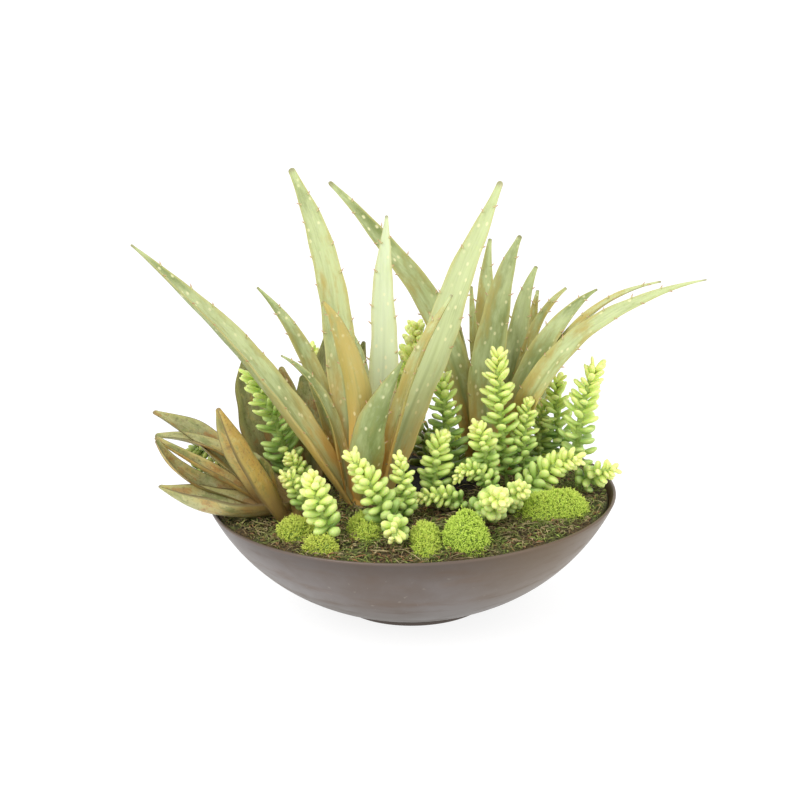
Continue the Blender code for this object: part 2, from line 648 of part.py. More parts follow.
def make_sprig(name, plan, collection, surface, holes, taken, cushions, draw):
    """A stonecrop sprig: leaves round the stem by the golden angle, each turned in where it has no room."""
    (x, y), middle, tip, leaf_length, first = plan
    foot = np.array((x * MM, y * MM, STEM_COLLAR))
    middle = np.array(middle) * MM
    tip = np.array(tip) * MM
    below = foot * (1, 1, 0) + (0, 0, SOIL_TOP - STEM_DEPTH + GAP)
    stations = np.linspace(0, 1, STEM_POINTS)
    points, _ = bend(foot, middle, tip, stations)
    radii = [STEM_RADIUS, STEM_RADIUS, *[CORE_RADIUS] * (STEM_POINTS - 2), CORE_TIP_RADIUS]
    meshes = [stem_mesh(name + "_stem", [below, *points], radii)]
    taken.add(bend(foot, middle, tip, np.linspace(0, 1, 24))[0], CORE_RADIUS, name)
    leafy = (np.linalg.norm(middle - foot) + np.linalg.norm(tip - middle)) * (1 - first)
    count = max(7, int(leafy / LEAF_PITCH))
    shares = first + (LEAF_LAST - first) * np.arange(count) / (count - 1)
    _, ways = bend(foot, middle, tip, shares)
    spots = np.stack([np.interp(shares, stations, points[:, axis]) for axis in range(3)], axis=1)
    for number in range(count):
        share = number / (count - 1)
        along = Vector(ways[number])
        round_axis = Matrix.Rotation(number * GOLDEN_TURN + draw.uniform(-0.15, 0.15), 3, along)
        outward = round_axis @ along.orthogonal().normalized()
        length = leaf_length * MM * (1 - LEAF_SHRINK * share**2) * draw.uniform(0.92, 1.05)
        swell = 1 - LEAF_NARROWING * share
        spread = math.radians(LEAF_SPREAD - LEAF_CLOSING * share**1.6)
        if number == count - 1:
            spread = 0.0
        for turned_in in LEAF_TURNS_IN:
            angle = max(0.0, spread - math.radians(turned_in))
            way = (outward * math.sin(angle) + along * math.cos(angle)).normalized()
            reach = spots[number] + np.array(way) * length * np.linspace(0.3, 0.95, 5)[:, None]
            size = LEAF_WIDTH / 2 * swell
            over_bed = (reach[:, 2] - ground_height(reach[:, 0], reach[:, 1])).min() - size
            room = min(
                taken.room(reach, size, name),
                cushion_room(reach, size, cushions),
                over_bed,
            )
            if room > LEAF_CLEARANCE:
                break
        else:
            continue
        taken.add(reach, size, name)
        meshes.append(
            bead_mesh(
                f"{name}_leaf_{number}", spots[number], way, length,
                LEAF_WIDTH * swell, LEAF_THICKNESS * swell,
            )
        )
    wide = STEM_RADIUS + 3 * GAP
    add_hole(holes, name + "_hole", (x * MM, y * MM), (wide, wide), SOIL_TOP - STEM_DEPTH, STEM_HOLE_SIDES)
    return fuse(name, meshes, collection, surface)


def make_cushion(name, plan, collection, surface, holes, draw):
    """A cushion of reindeer moss: a knobbly oval dome whose flat foot stands on the soil, in a hole in the
    bed. Gives the centre, the three sizes and the turn of the ball that it is made from."""
    (x, y), radii, degrees, top = plan
    turn = math.radians(degrees)
    wide, deep = (r * MM for r in radii)
    spin = np.array(((math.cos(turn), math.sin(turn), 0), (-math.sin(turn), math.cos(turn), 0), (0, 0, 1)))
    centre = np.array((x * MM, y * MM, BED_EDGE_HEIGHT))
    size = np.array((wide, deep, top * MM - BED_EDGE_HEIGHT))
    bm = bmesh.new()
    bmesh.ops.create_icosphere(bm, subdivisions=3, radius=1)
    for vertex in bm.verts:
        on_dome = vertex.co.z > CUSHION_FOOT
        share = 1 - CUSHION_RELIEF * draw.random() if on_dome else CUSHION_FOOT_SHARE
        spot = centre + (np.array(vertex.co) * share * size) @ spin
        vertex.co = spot if on_dome else (spot[0], spot[1], SOIL_TOP + GAP)
    bm.normal_update()
    bmesh.ops.dissolve_limit(bm, angle_limit=math.radians(1), verts=bm.verts, edges=bm.edges)
    add_object(name, mesh_from_bmesh(bm, name), collection, surface)
    corner = math.cos(math.pi / CUSHION_HOLE_SIDES)
    around = (wide / corner + GAP, deep / corner + GAP)
    add_hole(holes, name + "_hole", (x * MM, y * MM), around, SOIL_TOP, CUSHION_HOLE_SIDES, turn)
    return centre, size, spin


def main():
    clear_scene()
    garden = new_collection("succulent_dish_garden")
    stem_holes = new_collection("holes_to_soil")
    bed_holes = new_collection("holes_in_bed")
    draw = random.Random(SEED)
    taken = Taken()
    make_bowl(garden, material("bronzed_bowl", BRONZE, 0.42, 0.35))
    soil = make_soil(garden, material("soil", SOIL_BROWN, 0.95))
    bed = make_moss_bed(garden, material("bog_moss", BOG_MOSS, 0.9))
    aloe = material("aloe_leaf", ALOE_GREEN, 0.5)
    agave = material("agave_leaf", AGAVE_OLIVE, 0.6)
    make_rosette("aloe_left", ALOE_LEFT, ALOE, garden, aloe, stem_holes, taken)
    make_rosette("aloe_right", ALOE_RIGHT, ALOE, garden, aloe, stem_holes, taken)
    # the exact solver breaks this one in two where its crowded feet cross, and the manifold one keeps it whole
    make_rosette("agave_left", AGAVE_LEFT, FOLDED_AGAVE, garden, agave, stem_holes, taken, "MANIFOLD")
    make_rosette("agave_back", AGAVE_BACK, AGAVE, garden, agave, stem_holes, taken)
    lime = material("reindeer_moss", LIME_MOSS, 0.9)
    cushions = []
    for number, plan in enumerate(CUSHIONS):
        name = f"reindeer_moss_{number + 1:02d}"
        cushions.append(make_cushion(name, plan, garden, lime, bed_holes, draw))
    bead = material("stonecrop", BEAD_GREEN, 0.4)
    for number, plan in enumerate(SPRIGS):
        name = f"stonecrop_{number + 1:02d}"
        make_sprig(name, plan, garden, bead, stem_holes, taken, cushions, draw)
    cut_holes(soil, stem_holes)
    cut_holes(bed, stem_holes)
    cut_holes(bed, bed_holes)


main()
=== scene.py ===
# %% [markdown]
# # A succulent dish garden
# Two aloes, two agaves and a crowd of stonecrop sprigs stand in a wide bronzed bowl, on a bed of bog moss
# with cushions of lime green reindeer moss. The measured part comes in as a fixed frame. This lesson grows a
# finer skin over it, one kind of plant at a time, and then lights it as a studio would.
#
# A frame of plain solids could also be sculpted on by hand, but a plant is a rule that repeats. Written as
# a rule, every leaf stays where the measured one is and the whole dish can be grown again in seconds.

import math

import bpy
import numpy as np
from mathutils import Matrix, Vector
from mathutils.bvhtree import BVHTree


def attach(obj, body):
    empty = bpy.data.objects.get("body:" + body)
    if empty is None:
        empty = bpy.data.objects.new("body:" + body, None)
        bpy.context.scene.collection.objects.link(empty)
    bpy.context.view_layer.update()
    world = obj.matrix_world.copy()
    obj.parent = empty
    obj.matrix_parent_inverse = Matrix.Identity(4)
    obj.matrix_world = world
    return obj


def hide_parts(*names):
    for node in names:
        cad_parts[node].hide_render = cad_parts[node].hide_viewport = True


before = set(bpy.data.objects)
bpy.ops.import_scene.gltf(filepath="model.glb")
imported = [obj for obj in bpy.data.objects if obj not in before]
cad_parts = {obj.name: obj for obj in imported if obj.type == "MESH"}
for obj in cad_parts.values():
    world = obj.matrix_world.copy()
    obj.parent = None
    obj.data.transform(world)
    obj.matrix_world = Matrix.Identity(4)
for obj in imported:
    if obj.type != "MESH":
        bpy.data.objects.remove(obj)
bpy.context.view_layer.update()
MM = 0.001
luck = np.random.default_rng(7)

# %% [markdown]
# ## Meshes from whole arrays
# Every piece here is a surface worked out as one numpy array and handed to Blender in one go. The points of
# a tube, a leaf or a blade are a grid: rows go along it and columns go round it. Its two ends are closed by
# a fan of triangles to a single point, so each shape is watertight.


# %% Grids to meshes
def grid_faces(rows, columns):
    """Quads and triangles of a closed tube of points. Point (r, c) has number r * columns + c, column c is
    joined to c + 1 and the last to the first, and two more points close the first and the last row. A tube
    with three columns has no such points: its first and last rows are triangles themselves."""
    r, c = np.meshgrid(np.arange(rows - 1), np.arange(columns), indexing="ij")
    d = (c + 1) % columns
    quads = np.stack([r * columns + c, r * columns + d, (r + 1) * columns + d, (r + 1) * columns + c], -1)
    c = np.arange(columns)
    d = (c + 1) % columns
    last = (rows - 1) * columns
    if columns == 3:
        return quads.reshape(-1, 4), np.array([[2, 1, 0], [last, last + 1, last + 2]])
    start = np.stack([d, c, np.full(columns, rows * columns)], -1)
    end = np.stack([last + c, last + d, np.full(columns, rows * columns + 1)], -1)
    return quads.reshape(-1, 4), np.concatenate([start, end])


def copies(count, size, faces):
    """The faces of count equal shapes with size points each, numbered one shape after another."""
    return (faces[None] + size * np.arange(count)[:, None, None]).reshape(-1, faces.shape[1])


def piece(name, slot, nodes, surface, points, quads, tris, uv=None, **fields):
    """Makes one smooth piece that rides with the frame and stands for its nodes. fields are numbers, one
    for each point, which its material reads by name. uv is a pair for each point."""
    mesh = bpy.data.meshes.new(name)
    corners = np.concatenate([quads.ravel(), tris.ravel()]).astype(np.int32)
    sizes = np.concatenate([np.full(len(quads), 4), np.full(len(tris), 3)])
    mesh.vertices.add(len(points))
    mesh.vertices.foreach_set("co", np.ascontiguousarray(points, np.float32).ravel())
    mesh.loops.add(len(corners))
    mesh.loops.foreach_set("vertex_index", corners)
    mesh.polygons.add(len(sizes))
    mesh.polygons.foreach_set("loop_start", (np.cumsum(sizes) - sizes).astype(np.int32))
    mesh.polygons.foreach_set("use_smooth", np.ones(len(sizes), bool))
    mesh.update(calc_edges=True)
    if uv is not None:
        layer = mesh.uv_layers.new(name="UVMap")
        layer.data.foreach_set("uv", np.asarray(uv, np.float32)[corners].ravel())
    for title, values in fields.items():
        field = mesh.attributes.new(title, "FLOAT", "POINT")
        field.data.foreach_set("value", np.asarray(values, np.float32).ravel())
    mesh.materials.append(surface)
    obj = bpy.data.objects.new(name, mesh)
    bpy.context.scene.collection.objects.link(obj)
    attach(obj, "root")
    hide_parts(*nodes)
    print(f"{name}: {2 * len(quads) + len(tris)} triangles")
    return obj


# %% [markdown]
# ## Tubes, twigs and plump leaves
# Moss threads, stems, thorns and stonecrop leaves are all one idea: a round section carried along a short
# path, thick here and thin there. Making thousands of them at once keeps the lesson quick.


# %% Many tubes at once
def unit(v):
    """v divided by its length, along the last axis."""
    return v / np.maximum(np.linalg.norm(v, axis=-1, keepdims=True), 1e-12)


def tubes(paths, radii, sides, over, flat=1.0):
    """Tubes round paths of shape (n, rows, 3) with radii of shape (n, rows). A point is its path's point plus
    radius * (cos a * side + flat * sin a * up), where side is square to the path and to the direction over,
    and up is square to both. The end points lie half a radius beyond the path's ends, and a three sided tube
    has none."""
    count, rows = paths.shape[:2]
    along = unit(np.gradient(paths, axis=1))
    side = unit(np.cross(along, over[:, None, :]))
    up = np.cross(side, along)
    a = 2 * math.pi * np.arange(sides) / sides
    ring = np.cos(a)[:, None] * side[:, :, None, :] + flat * np.sin(a)[:, None] * up[:, :, None, :]
    body = paths[:, :, None, :] + radii[:, :, None, None] * ring
    points = body.reshape(count, rows * sides, 3)
    if sides > 3:
        start = paths[:, :1] - 0.5 * radii[:, :1, None] * along[:, :1]
        end = paths[:, -1:] + 0.5 * radii[:, -1:, None] * along[:, -1:]
        points = np.concatenate([points, start, end], axis=1)
    quads, tris = grid_faces(rows, sides)
    size = points.shape[1]
    return points, copies(count, size, quads), copies(count, size, tris)


def along_rows(values, sides):
    """Numbers of shape (n, rows) spread over the points that tubes makes, end points included."""
    body = np.repeat(values, sides, axis=1)
    return np.concatenate([body, values[:, :1], values[:, -1:]], axis=1) if sides > 3 else body


def per_path(values, points):
    """One number for each path, spread over the points that tubes made for it."""
    return np.repeat(values[:, None], points.shape[1], axis=1)


def joined(*groups):
    """One set of points, quads, triangles and fields from several, each a dict with those keys."""
    shift, out = 0, {"points": [], "quads": [], "tris": []}
    for group in groups:
        points = group["points"].reshape(-1, 3)
        out["points"].append(points)
        out["quads"].append(group["quads"] + shift)
        out["tris"].append(group["tris"] + shift)
        for key in group:
            if key not in ("points", "quads", "tris"):
                width = group[key].shape[-1] if key == "uv" else 1
                out.setdefault(key, []).append(group[key].reshape(len(points), width))
        shift += len(points)
    return {key: np.concatenate(values) for key, values in out.items()}


# %% [markdown]
# ## Shader sums written as Python
# A material is a wiring diagram. Drawn by hand it is quick to start and slow to read back, so here a socket
# is wrapped in a small class that understands plus, minus and times. An expression such as 1 - mask then
# adds its own Math node.


# %% A socket that does sums
class Wire:
    """One output socket of a finish, on which Python's operators add Math nodes."""

    def __init__(self, finish, socket):
        self.finish = finish
        self.socket = socket

    def sum(self, operation, *values):
        """A Math node that works on the values."""
        sockets = dict(enumerate(values))
        return self.finish.node("ShaderNodeMath", {"operation": operation}, sockets)

    def __add__(self, other):
        return self.sum("ADD", self, other)

    __radd__ = __add__

    def __sub__(self, other):
        return self.sum("SUBTRACT", self, other)

    def __rsub__(self, other):
        return self.sum("SUBTRACT", other, self)

    def __mul__(self, other):
        return self.sum("MULTIPLY", self, other)

    __rmul__ = __mul__

    def size(self):
        """The value without its sign."""
        return self.sum("ABSOLUTE", self)

    def step(self, low, high):
        """0 below low and 1 above high, with a smooth rise between."""
        sockets = {0: self, 1: low, 2: high, 3: 0.0, 4: 1.0}
        return self.finish.node("ShaderNodeMapRange", {"interpolation_type": "SMOOTHSTEP"}, sockets)


# %% A material being wired
class Finish:
    """A material being wired: node() adds any node, and put() feeds a socket of its Principled shader."""

    def __init__(self, name, roughness, **fixed):
        self.material = bpy.data.materials.new(name)
        self.material.use_nodes = True
        print("finish:", name)
        self.tree = self.material.node_tree
        self.shader = self.tree.nodes["Principled BSDF"]
        self.shader.inputs["Roughness"].default_value = roughness
        for key, value in fixed.items():
            self.shader.inputs[key.replace("_", " ").title()].default_value = value

    def node(self, kind, settings=None, values=None, output=0):
        """Adds a node: its settings first, then a value or a link for each socket that is named."""
        made = self.tree.nodes.new(kind)
        for key, value in (settings or {}).items():
            setattr(made, key, value)
        for key, value in (values or {}).items():
            self.feed(made.inputs[key], value)
        return Wire(self, made.outputs[output])

    def feed(self, socket, value):
        """Links a wire to a socket, or sets the socket to a constant."""
        if isinstance(value, Wire):
            self.tree.links.new(value.socket, socket)
        elif hasattr(value, "__len__") and len(value) == 3 and len(socket.default_value) == 4:
            socket.default_value = (*value, 1.0)
        else:
            socket.default_value = value

    def put(self, name, value):
        """Feeds a socket of the Principled shader."""
        self.feed(self.shader.inputs[name], value)

    def mix(self, share, a, b):
        """Colour a, turning to b where share is 1."""
        return self.node("ShaderNodeMix", {"data_type": "RGBA"}, {0: share, 6: a, 7: b}, 2)

    def field(self, name):
        """A number that the piece carries at each point."""
        return self.node("ShaderNodeAttribute", {"attribute_name": name}, {}, 2)

    def place(self, stretch=(1, 1, 1), pattern="Object"):
        """Where a point is on the piece, or in its UV map, with each axis stretched."""
        spot = self.node("ShaderNodeTexCoord", {}, {}, {"UV": 2, "Object": 3}[pattern])
        return self.node("ShaderNodeVectorMath", {"operation": "MULTIPLY"}, {0: spot, 1: stretch})

    def axis(self, number):
        """One coordinate of a point on the piece in metres: 0 for x, 2 for z."""
        return self.node("ShaderNodeSeparateXYZ", {}, {0: self.place()}, number)

    def noise(self, where, scale, detail=3.0, roughness=0.5):
        """Cloudy noise from 0 to 1, with about scale patches a metre."""
        sockets = {"Vector": where, "Scale": scale, "Detail": detail, "Roughness": roughness}
        return self.node("ShaderNodeTexNoise", {}, sockets)

    def bump(self, height, strength, distance):
        """Tilts the normals as if the height, times the distance in metres, were there."""
        sockets = {"Height": height, "Strength": strength, "Distance": distance}
        self.put("Normal", self.node("ShaderNodeBump", {}, sockets))


# %% [markdown]
# ## The bowl
# The real bowl is a spun or cast shell, brown like old bronze, with a thin rim and a low foot. A turned
# profile is the honest way to make it: the outer side is one arc from the foot to the rim, and the inner
# side follows it a wall's thickness away. The finish is a dull metal with lilac and brown clouds in its
# patina. Painted shade darkens the foot and a band below the rim, a painted highlight lightens the top of
# the rim, and a painted warm reflection browns the right side.

# %% Profile of the bowl, in metres
RIM_RADIUS = 203 * MM
RIM_HEIGHT = 113 * MM
FOOT_RADIUS = 77 * MM
FOOT_HEIGHT = 6 * MM
WALL_BULGE = 17.5 * MM
WALL = 3 * MM
FLOOR = 9 * MM
SOFT = 1.5 * MM

run, rise = RIM_RADIUS - FOOT_RADIUS, RIM_HEIGHT - FOOT_HEIGHT
chord = math.hypot(run, rise)
arc_radius = (chord**2 / 4 + WALL_BULGE**2) / (2 * WALL_BULGE)
half_angle = math.asin(chord / 2 / arc_radius)
arc_start = math.atan2(rise, run) - half_angle
arc_end = arc_start + 2 * half_angle
arc_centre = np.array(
    (FOOT_RADIUS - arc_radius * math.sin(arc_start), FOOT_HEIGHT + arc_radius * math.cos(arc_start))
)


def on_arc(radius, angles):
    """Points of a circle round the wall arc's centre, the angle measured from straight down."""
    return arc_centre + radius * np.stack([np.sin(angles), -np.cos(angles)], axis=-1)


inside = arc_radius - WALL
lowest = math.acos((arc_centre[1] - FLOOR) / inside)
inner = on_arc(inside, np.linspace(lowest, arc_end, 24))
turn = np.linspace(math.pi, 0, 9)[1:-1]
lip_angle = arc_end + WALL / 2 / arc_radius * np.sin(turn)
lip_radius = arc_radius - WALL / 2 + WALL / 2 * np.cos(turn)
lip = arc_centre + lip_radius[:, None] * np.stack([np.sin(lip_angle), -np.cos(lip_angle)], axis=-1)
outer = on_arc(arc_radius, np.linspace(arc_end, arc_start, 32))
bend_in = np.linspace(0, math.pi / 2, 5)
foot = np.stack(
    [FOOT_RADIUS - SOFT * (1 - np.cos(bend_in)), SOFT * (1 - np.sin(bend_in))], axis=-1
)
neck = np.array([[FOOT_RADIUS + 0.2 * MM, FOOT_HEIGHT - 0.6 * MM], [FOOT_RADIUS, FOOT_HEIGHT - 2 * MM]])
inner_floor = np.stack([np.linspace(0.01, inner[0, 0], 6)[:-1], np.full(5, FLOOR)], axis=-1)
base = np.stack([np.linspace(foot[-1, 0], 0.01, 6)[1:], np.zeros(5)], axis=-1)
profile = np.concatenate([inner_floor, inner, lip, outer, neck, foot, base])
print("bowl profile:", len(profile), "points, arc radius", round(arc_radius / MM), "mm")


# %% Turn the bowl
def turned(outline, steps):
    """A profile of (radius, height) spun round Z: x = radius * cos a, y = radius * sin a, z = height."""
    a = 2 * math.pi * np.arange(steps) / steps
    rows = outline[:, None, 0] * np.stack([np.cos(a), np.sin(a)])[:, None, :]
    body = np.stack([rows[0], rows[1], np.repeat(outline[:, 1:], steps, axis=1)], axis=-1)
    ends = np.array([[0, 0, outline[0, 1]], [0, 0, outline[-1, 1]]])
    quads, tris = grid_faces(len(outline), steps)
    points = np.concatenate([body.reshape(-1, 3), ends])
    return {"points": points, "quads": quads[:, ::-1], "tris": tris[:, ::-1]}


# %% Bronze finish
bronze = Finish("bronzed_bowl", 0.4, metallic=0.30)
spot = bronze.place()
height = bronze.axis(2)
clouds = bronze.noise(spot, 9.0, 5.0, 0.62).step(0.36, 0.66)
streaks = bronze.noise(bronze.place((1, 1, 5)), 14.0, 4.0, 0.6).step(0.45, 0.75)
specks = bronze.noise(spot, 160.0, 2.0).step(0.70, 0.76)
brown = bronze.mix(clouds, (0.122, 0.090, 0.071), (0.155, 0.133, 0.125))
brown = bronze.mix(streaks * 0.50, brown, (0.165, 0.105, 0.068))
brown = bronze.mix(specks * 0.4, brown, (0.30, 0.26, 0.22))
scuffs = bronze.noise(bronze.place((1, 1, 2)), 31.0, 3.0, 0.7).step(0.68, 0.74)
brown = bronze.mix(scuffs * 0.25, brown, (0.27, 0.22, 0.18))
# Painted shade: a darker band on the steep upper wall below the rim.
brown = bronze.mix(height.step(0.085, 0.112) * 0.62, brown, (0.075, 0.055, 0.044))
# Painted warm reflection: the right side of the bowl turns browner.
brown = bronze.mix(bronze.axis(0).step(0.00, 0.15) * 0.85, brown, (0.122, 0.074, 0.028))
# Painted shade: the wall darkens towards the foot, under the bowl.
brown = bronze.mix((1 - height.step(0.01, 0.07)) * 0.90, brown, (0.040, 0.022, 0.008))
# Painted highlight: a lighter line along the top of the rim.
rim_highlight = height.step(0.1122, 0.1134)
brown = bronze.mix(rim_highlight * 0.4, brown, (0.17, 0.120, 0.092))
brown = bronze.mix(1 - height.step(0.0055, 0.0070), brown, (0.085, 0.065, 0.053))
bronze.put("Base Color", brown)
bronze.put("Roughness", 0.40 + 0.16 * streaks - 0.06 * clouds)
bronze.bump(bronze.noise(spot, 55.0, 4.0, 0.6), 0.12, 0.4 * MM)

# %% Spin the profile
bowl = turned(profile, 128)
piece("bowl_shell", "bowl", ["bowl"], bronze.material, **bowl)

# %% [markdown]
# ## Soil
# The soil hardly shows: it fills the bowl under the moss. Its measured solid is kept and only gets a crumbly
# dark finish.

# %% Soil finish on the measured solid
soil = Finish("potting_soil", 0.95)
spot = soil.place()
crumbs = soil.noise(spot, 400.0, 4.0, 0.7)
soil.put("Base Color", soil.mix(crumbs.step(0.35, 0.7), (0.012, 0.008, 0.005), (0.060, 0.038, 0.022)))
soil.bump(crumbs, 0.8, 1.5 * MM)
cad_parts["soil"].data.materials.clear()
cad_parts["soil"].data.materials.append(soil.material)

# %% [markdown]
# ## The moss bed
# Bog moss and dry shreds cover the soil up to just below the rim. A plain lumpy disc would look like paint,
# so the bed is a fine lumpy disc with some eight thousand curled threads and six hundred long shreds on it,
# rust, straw and green. An oval between the plants has no threads, and its ground is painted near black
# as shade.

# %% Height of the bed
BED_EDGE_HEIGHT = 109.5 * MM
BED_CROWN = 3.5 * MM
BED_LUMP = 2.4 * MM
BED_RADIUS = 194 * MM
# The bare oval between the plants: no threads grow there, and its ground is painted near black as shade.
BARE_SHADE_CENTRE = (10 * MM, 42 * MM)
BARE_SHADE_RADII = (60 * MM, 88 * MM)


def bed_height(x, y):
    """The edge height plus a crown that falls with the square of the distance from the middle, plus lumps
    from two pairs of crossed sine waves."""
    reach = np.hypot(x, y) / RIM_RADIUS
    short = np.sin(x / (9.1 * MM) + 1.3) * np.sin(y / (8.3 * MM) + 0.4)
    broad = np.sin((x + y) / (15.7 * MM)) * np.sin((x - y) / (12.9 * MM) + 2.0)
    return BED_EDGE_HEIGHT + BED_CROWN * (1 - reach**2) + BED_LUMP * (0.6 * short + 0.4 * broad)


def ground_height(x, y):
    """bed_height with finer crumbs: three more crossed waves of a few millimetres."""
    crumbs = np.sin(x / (2.9 * MM) + 2.1 * np.sin(y / (6.1 * MM))) * np.sin(y / (2.6 * MM) + 1.7)
    ripples = np.sin((x - 2 * y) / (5.3 * MM)) * np.sin((2 * x + y) / (4.7 * MM) + 0.8)
    return bed_height(x, y) + 0.9 * MM * crumbs + 0.8 * MM * ripples


print(f"bed in the middle: {bed_height(0, 0) / MM:.1f} mm high")

# %% The lumpy disc
steps, rings = 220, 64
reach = BED_RADIUS * np.sqrt(np.linspace(0.0004, 1, rings))
top = np.stack([reach, np.zeros(rings)], axis=-1)
UNDERSIDE = 100.5 * MM
skirt = np.array([
    [BED_RADIUS + 1.9 * MM, 106 * MM],
    [BED_RADIUS - 3.4 * MM, UNDERSIDE],
    [10 * MM, UNDERSIDE],
])
ground = turned(np.concatenate([top, skirt])[::-1], steps)
points = ground["points"]
on_top = points[:, 2] < 1 * MM
points[on_top, 2] = ground_height(points[on_top, 0], points[on_top, 1])

# %% Finish of the ground
moss_ground = Finish("bog_moss_ground", 0.9)
spot = moss_ground.place()
patch = moss_ground.noise(spot, 28.0, 4.0, 0.6)
fine = moss_ground.noise(spot, 420.0, 3.0, 0.7)
colour = moss_ground.mix(patch.step(0.42, 0.60), (0.150, 0.095, 0.034), (0.130, 0.165, 0.034))
colour = moss_ground.mix(fine.step(0.35, 0.65), (0.030, 0.022, 0.010), colour)
middle = (*BARE_SHADE_CENTRE, 0)
from_bare_shade = moss_ground.node("ShaderNodeVectorMath", {"operation": "SUBTRACT"}, {0: spot, 1: middle})
shape = (1 / BARE_SHADE_RADII[0], 1 / BARE_SHADE_RADII[1], 0)
from_bare_shade = moss_ground.node("ShaderNodeVectorMath", {"operation": "MULTIPLY"}, {0: from_bare_shade, 1: shape})
reach = moss_ground.node("ShaderNodeVectorMath", {"operation": "LENGTH"}, {0: from_bare_shade}, 1)
dressed = (reach + 0.5 * (patch - 0.5)).step(0.80, 1.15)
# Painted shade: near-black ground in the bare oval between the plants.
bare_shade = moss_ground.mix(fine.step(0.40, 0.70), (0.008, 0.006, 0.005), (0.034, 0.024, 0.016))
colour = moss_ground.mix(dressed, bare_shade, colour)
moss_ground.put("Base Color", colour)
moss_ground.bump(fine, 0.9, 1.2 * MM)
piece("moss_ground", "bog_moss", ["moss_bed"], moss_ground.material, **ground)


# %% [markdown]
# ### Curled threads on the bed
# Each thread starts on the bed and wanders: its heading turns by a steady curl while it rises and sinks
# again. Their shades come from a number that every thread carries, so one finish colours them all.


# %% Curled paths
def curled(starts, heading, length, curl, lift, rows):
    """Paths that start at starts and run on with a heading that turns by curl radians on the way, while the
    height follows lift times a half sine."""
    s = np.linspace(0, 1, rows)
    angle = heading[:, None] + curl[:, None] * s
    step = length[:, None] / (rows - 1)
    x = starts[:, :1] + np.cumsum(np.cos(angle) * step, axis=1)
    y = starts[:, 1:2] + np.cumsum(np.sin(angle) * step, axis=1)
    z = starts[:, 2:] + lift[:, None] * np.sin(math.pi * (0.08 + 0.84 * s))
    return np.stack([x, y, z], axis=-1)


# %% Spots on the bed
def scatter_on_disc(count, outer):
    """Even random spots on a disc, the radius being the root of a random share, without those in the bare
    oval, whose ground is painted as shade."""
    r = outer * np.sqrt(luck.random(2 * count))
    a = 2 * math.pi * luck.random(2 * count)
    x, y = r * np.cos(a), r * np.sin(a)
    bare_shade = np.hypot((x - BARE_SHADE_CENTRE[0]) / BARE_SHADE_RADII[0], (y - BARE_SHADE_CENTRE[1]) / BARE_SHADE_RADII[1])
    dressed = bare_shade > luck.uniform(0.85, 1.10, 2 * count)
    return x[dressed][:count], y[dressed][:count]


# %% Threads and shreds from their measures
def litter_set(count, above, length, curl, lift, thickness, outline, tone):
    """Curled tubes on the bed, pulled in where they would cross its edge. Pairs are the least and the
    most, in millimetres but for the tone, curl is the spread of the turn in radians, and outline gives
    the thickness of a tube at each of its rows."""
    x, y = scatter_on_disc(count, BED_RADIUS - 3 * MM)
    starts = np.stack([x, y, bed_height(x, y) + above * MM], axis=-1)
    heading = luck.uniform(0, 2 * math.pi, count)
    run = luck.uniform(*length, count) * MM
    turn = luck.normal(0, curl, count)
    rise = luck.uniform(*lift, count) * MM
    paths = curled(starts, heading, run, turn, rise, len(outline))
    from_middle = np.hypot(paths[..., 0], paths[..., 1])
    paths[..., :2] *= np.minimum(1, (BED_RADIUS - 1 * MM) / from_middle)[..., None]
    radii = luck.uniform(*thickness, count)[:, None] * MM * np.array(outline)
    points, quads, tris = tubes(paths, radii, 3, np.tile((0.0, 0.0, 1.0), (count, 1)))
    tones = per_path(luck.uniform(*tone, count), points)
    return {"points": points, "quads": quads, "tris": tris, "tone": tones}


# %% Lay the litter
SHORT_OUTLINE = (0.7, 1, 0.9, 0.35)
LONG_OUTLINE = (0.5, 0.9, 1, 1, 1, 1, 0.8, 0.35)
litter = [
    litter_set(8200, 0.2, (4, 13), 2.6, (0.6, 4.2), (0.38, 0.80), SHORT_OUTLINE, (0, 1)),
    litter_set(620, 1.6, (14, 30), 4.2, (1.5, 5.5), (0.30, 0.62), LONG_OUTLINE, (0.20, 0.62)),
]
print("curled threads and shreds:", [len(group["points"]) for group in litter])

# %% Finish of the litter
threads = Finish("bog_moss_threads", 0.75)
kind = threads.field("tone")
shade = threads.mix(kind.step(0.18, 0.22), (0.430, 0.210, 0.090), (0.570, 0.455, 0.230))
shade = threads.mix(kind.step(0.38, 0.42), shade, (0.250, 0.310, 0.060))
shade = threads.mix(kind.step(0.70, 0.74), shade, (0.380, 0.500, 0.100))
shade = threads.mix(kind.step(0.88, 0.91), shade, (0.180, 0.150, 0.060))
clumps = threads.noise(threads.place(), 30.0, 4.0, 0.65)
shade = threads.mix(clumps.step(0.53, 0.62) * 0.60, shade, (0.170, 0.270, 0.040))
shade = threads.mix((1 - clumps.step(0.38, 0.47)) * 0.65, shade, (0.115, 0.062, 0.026))
# Painted light: the threads turn paler straw towards the left side of the bed.
painted_light_side = threads.axis(0)
shade = threads.mix((1 - painted_light_side.step(-0.14, -0.05)) * 0.20, shade, (0.500, 0.420, 0.190))
flecks = threads.noise(threads.place(), 300.0, 2.0)
threads.put("Base Color", threads.mix(flecks.step(0.20, 0.66), (0.100, 0.075, 0.028), shade))
piece("moss_threads", "bog_moss", ["moss_bed"], threads.material, **joined(*litter))

# %% [markdown]
# ## Rosettes of the aloes and agaves
# An aloe leaf is a long fleshy blade: channelled on its upper side, keeled below, with small thorns along
# both margins and pale spots in rough rows. Each blade follows the parabola through its root, middle and tip,
# which is how the measured part lays it, and its finer skin only adds rows, columns and a gentle waviness.

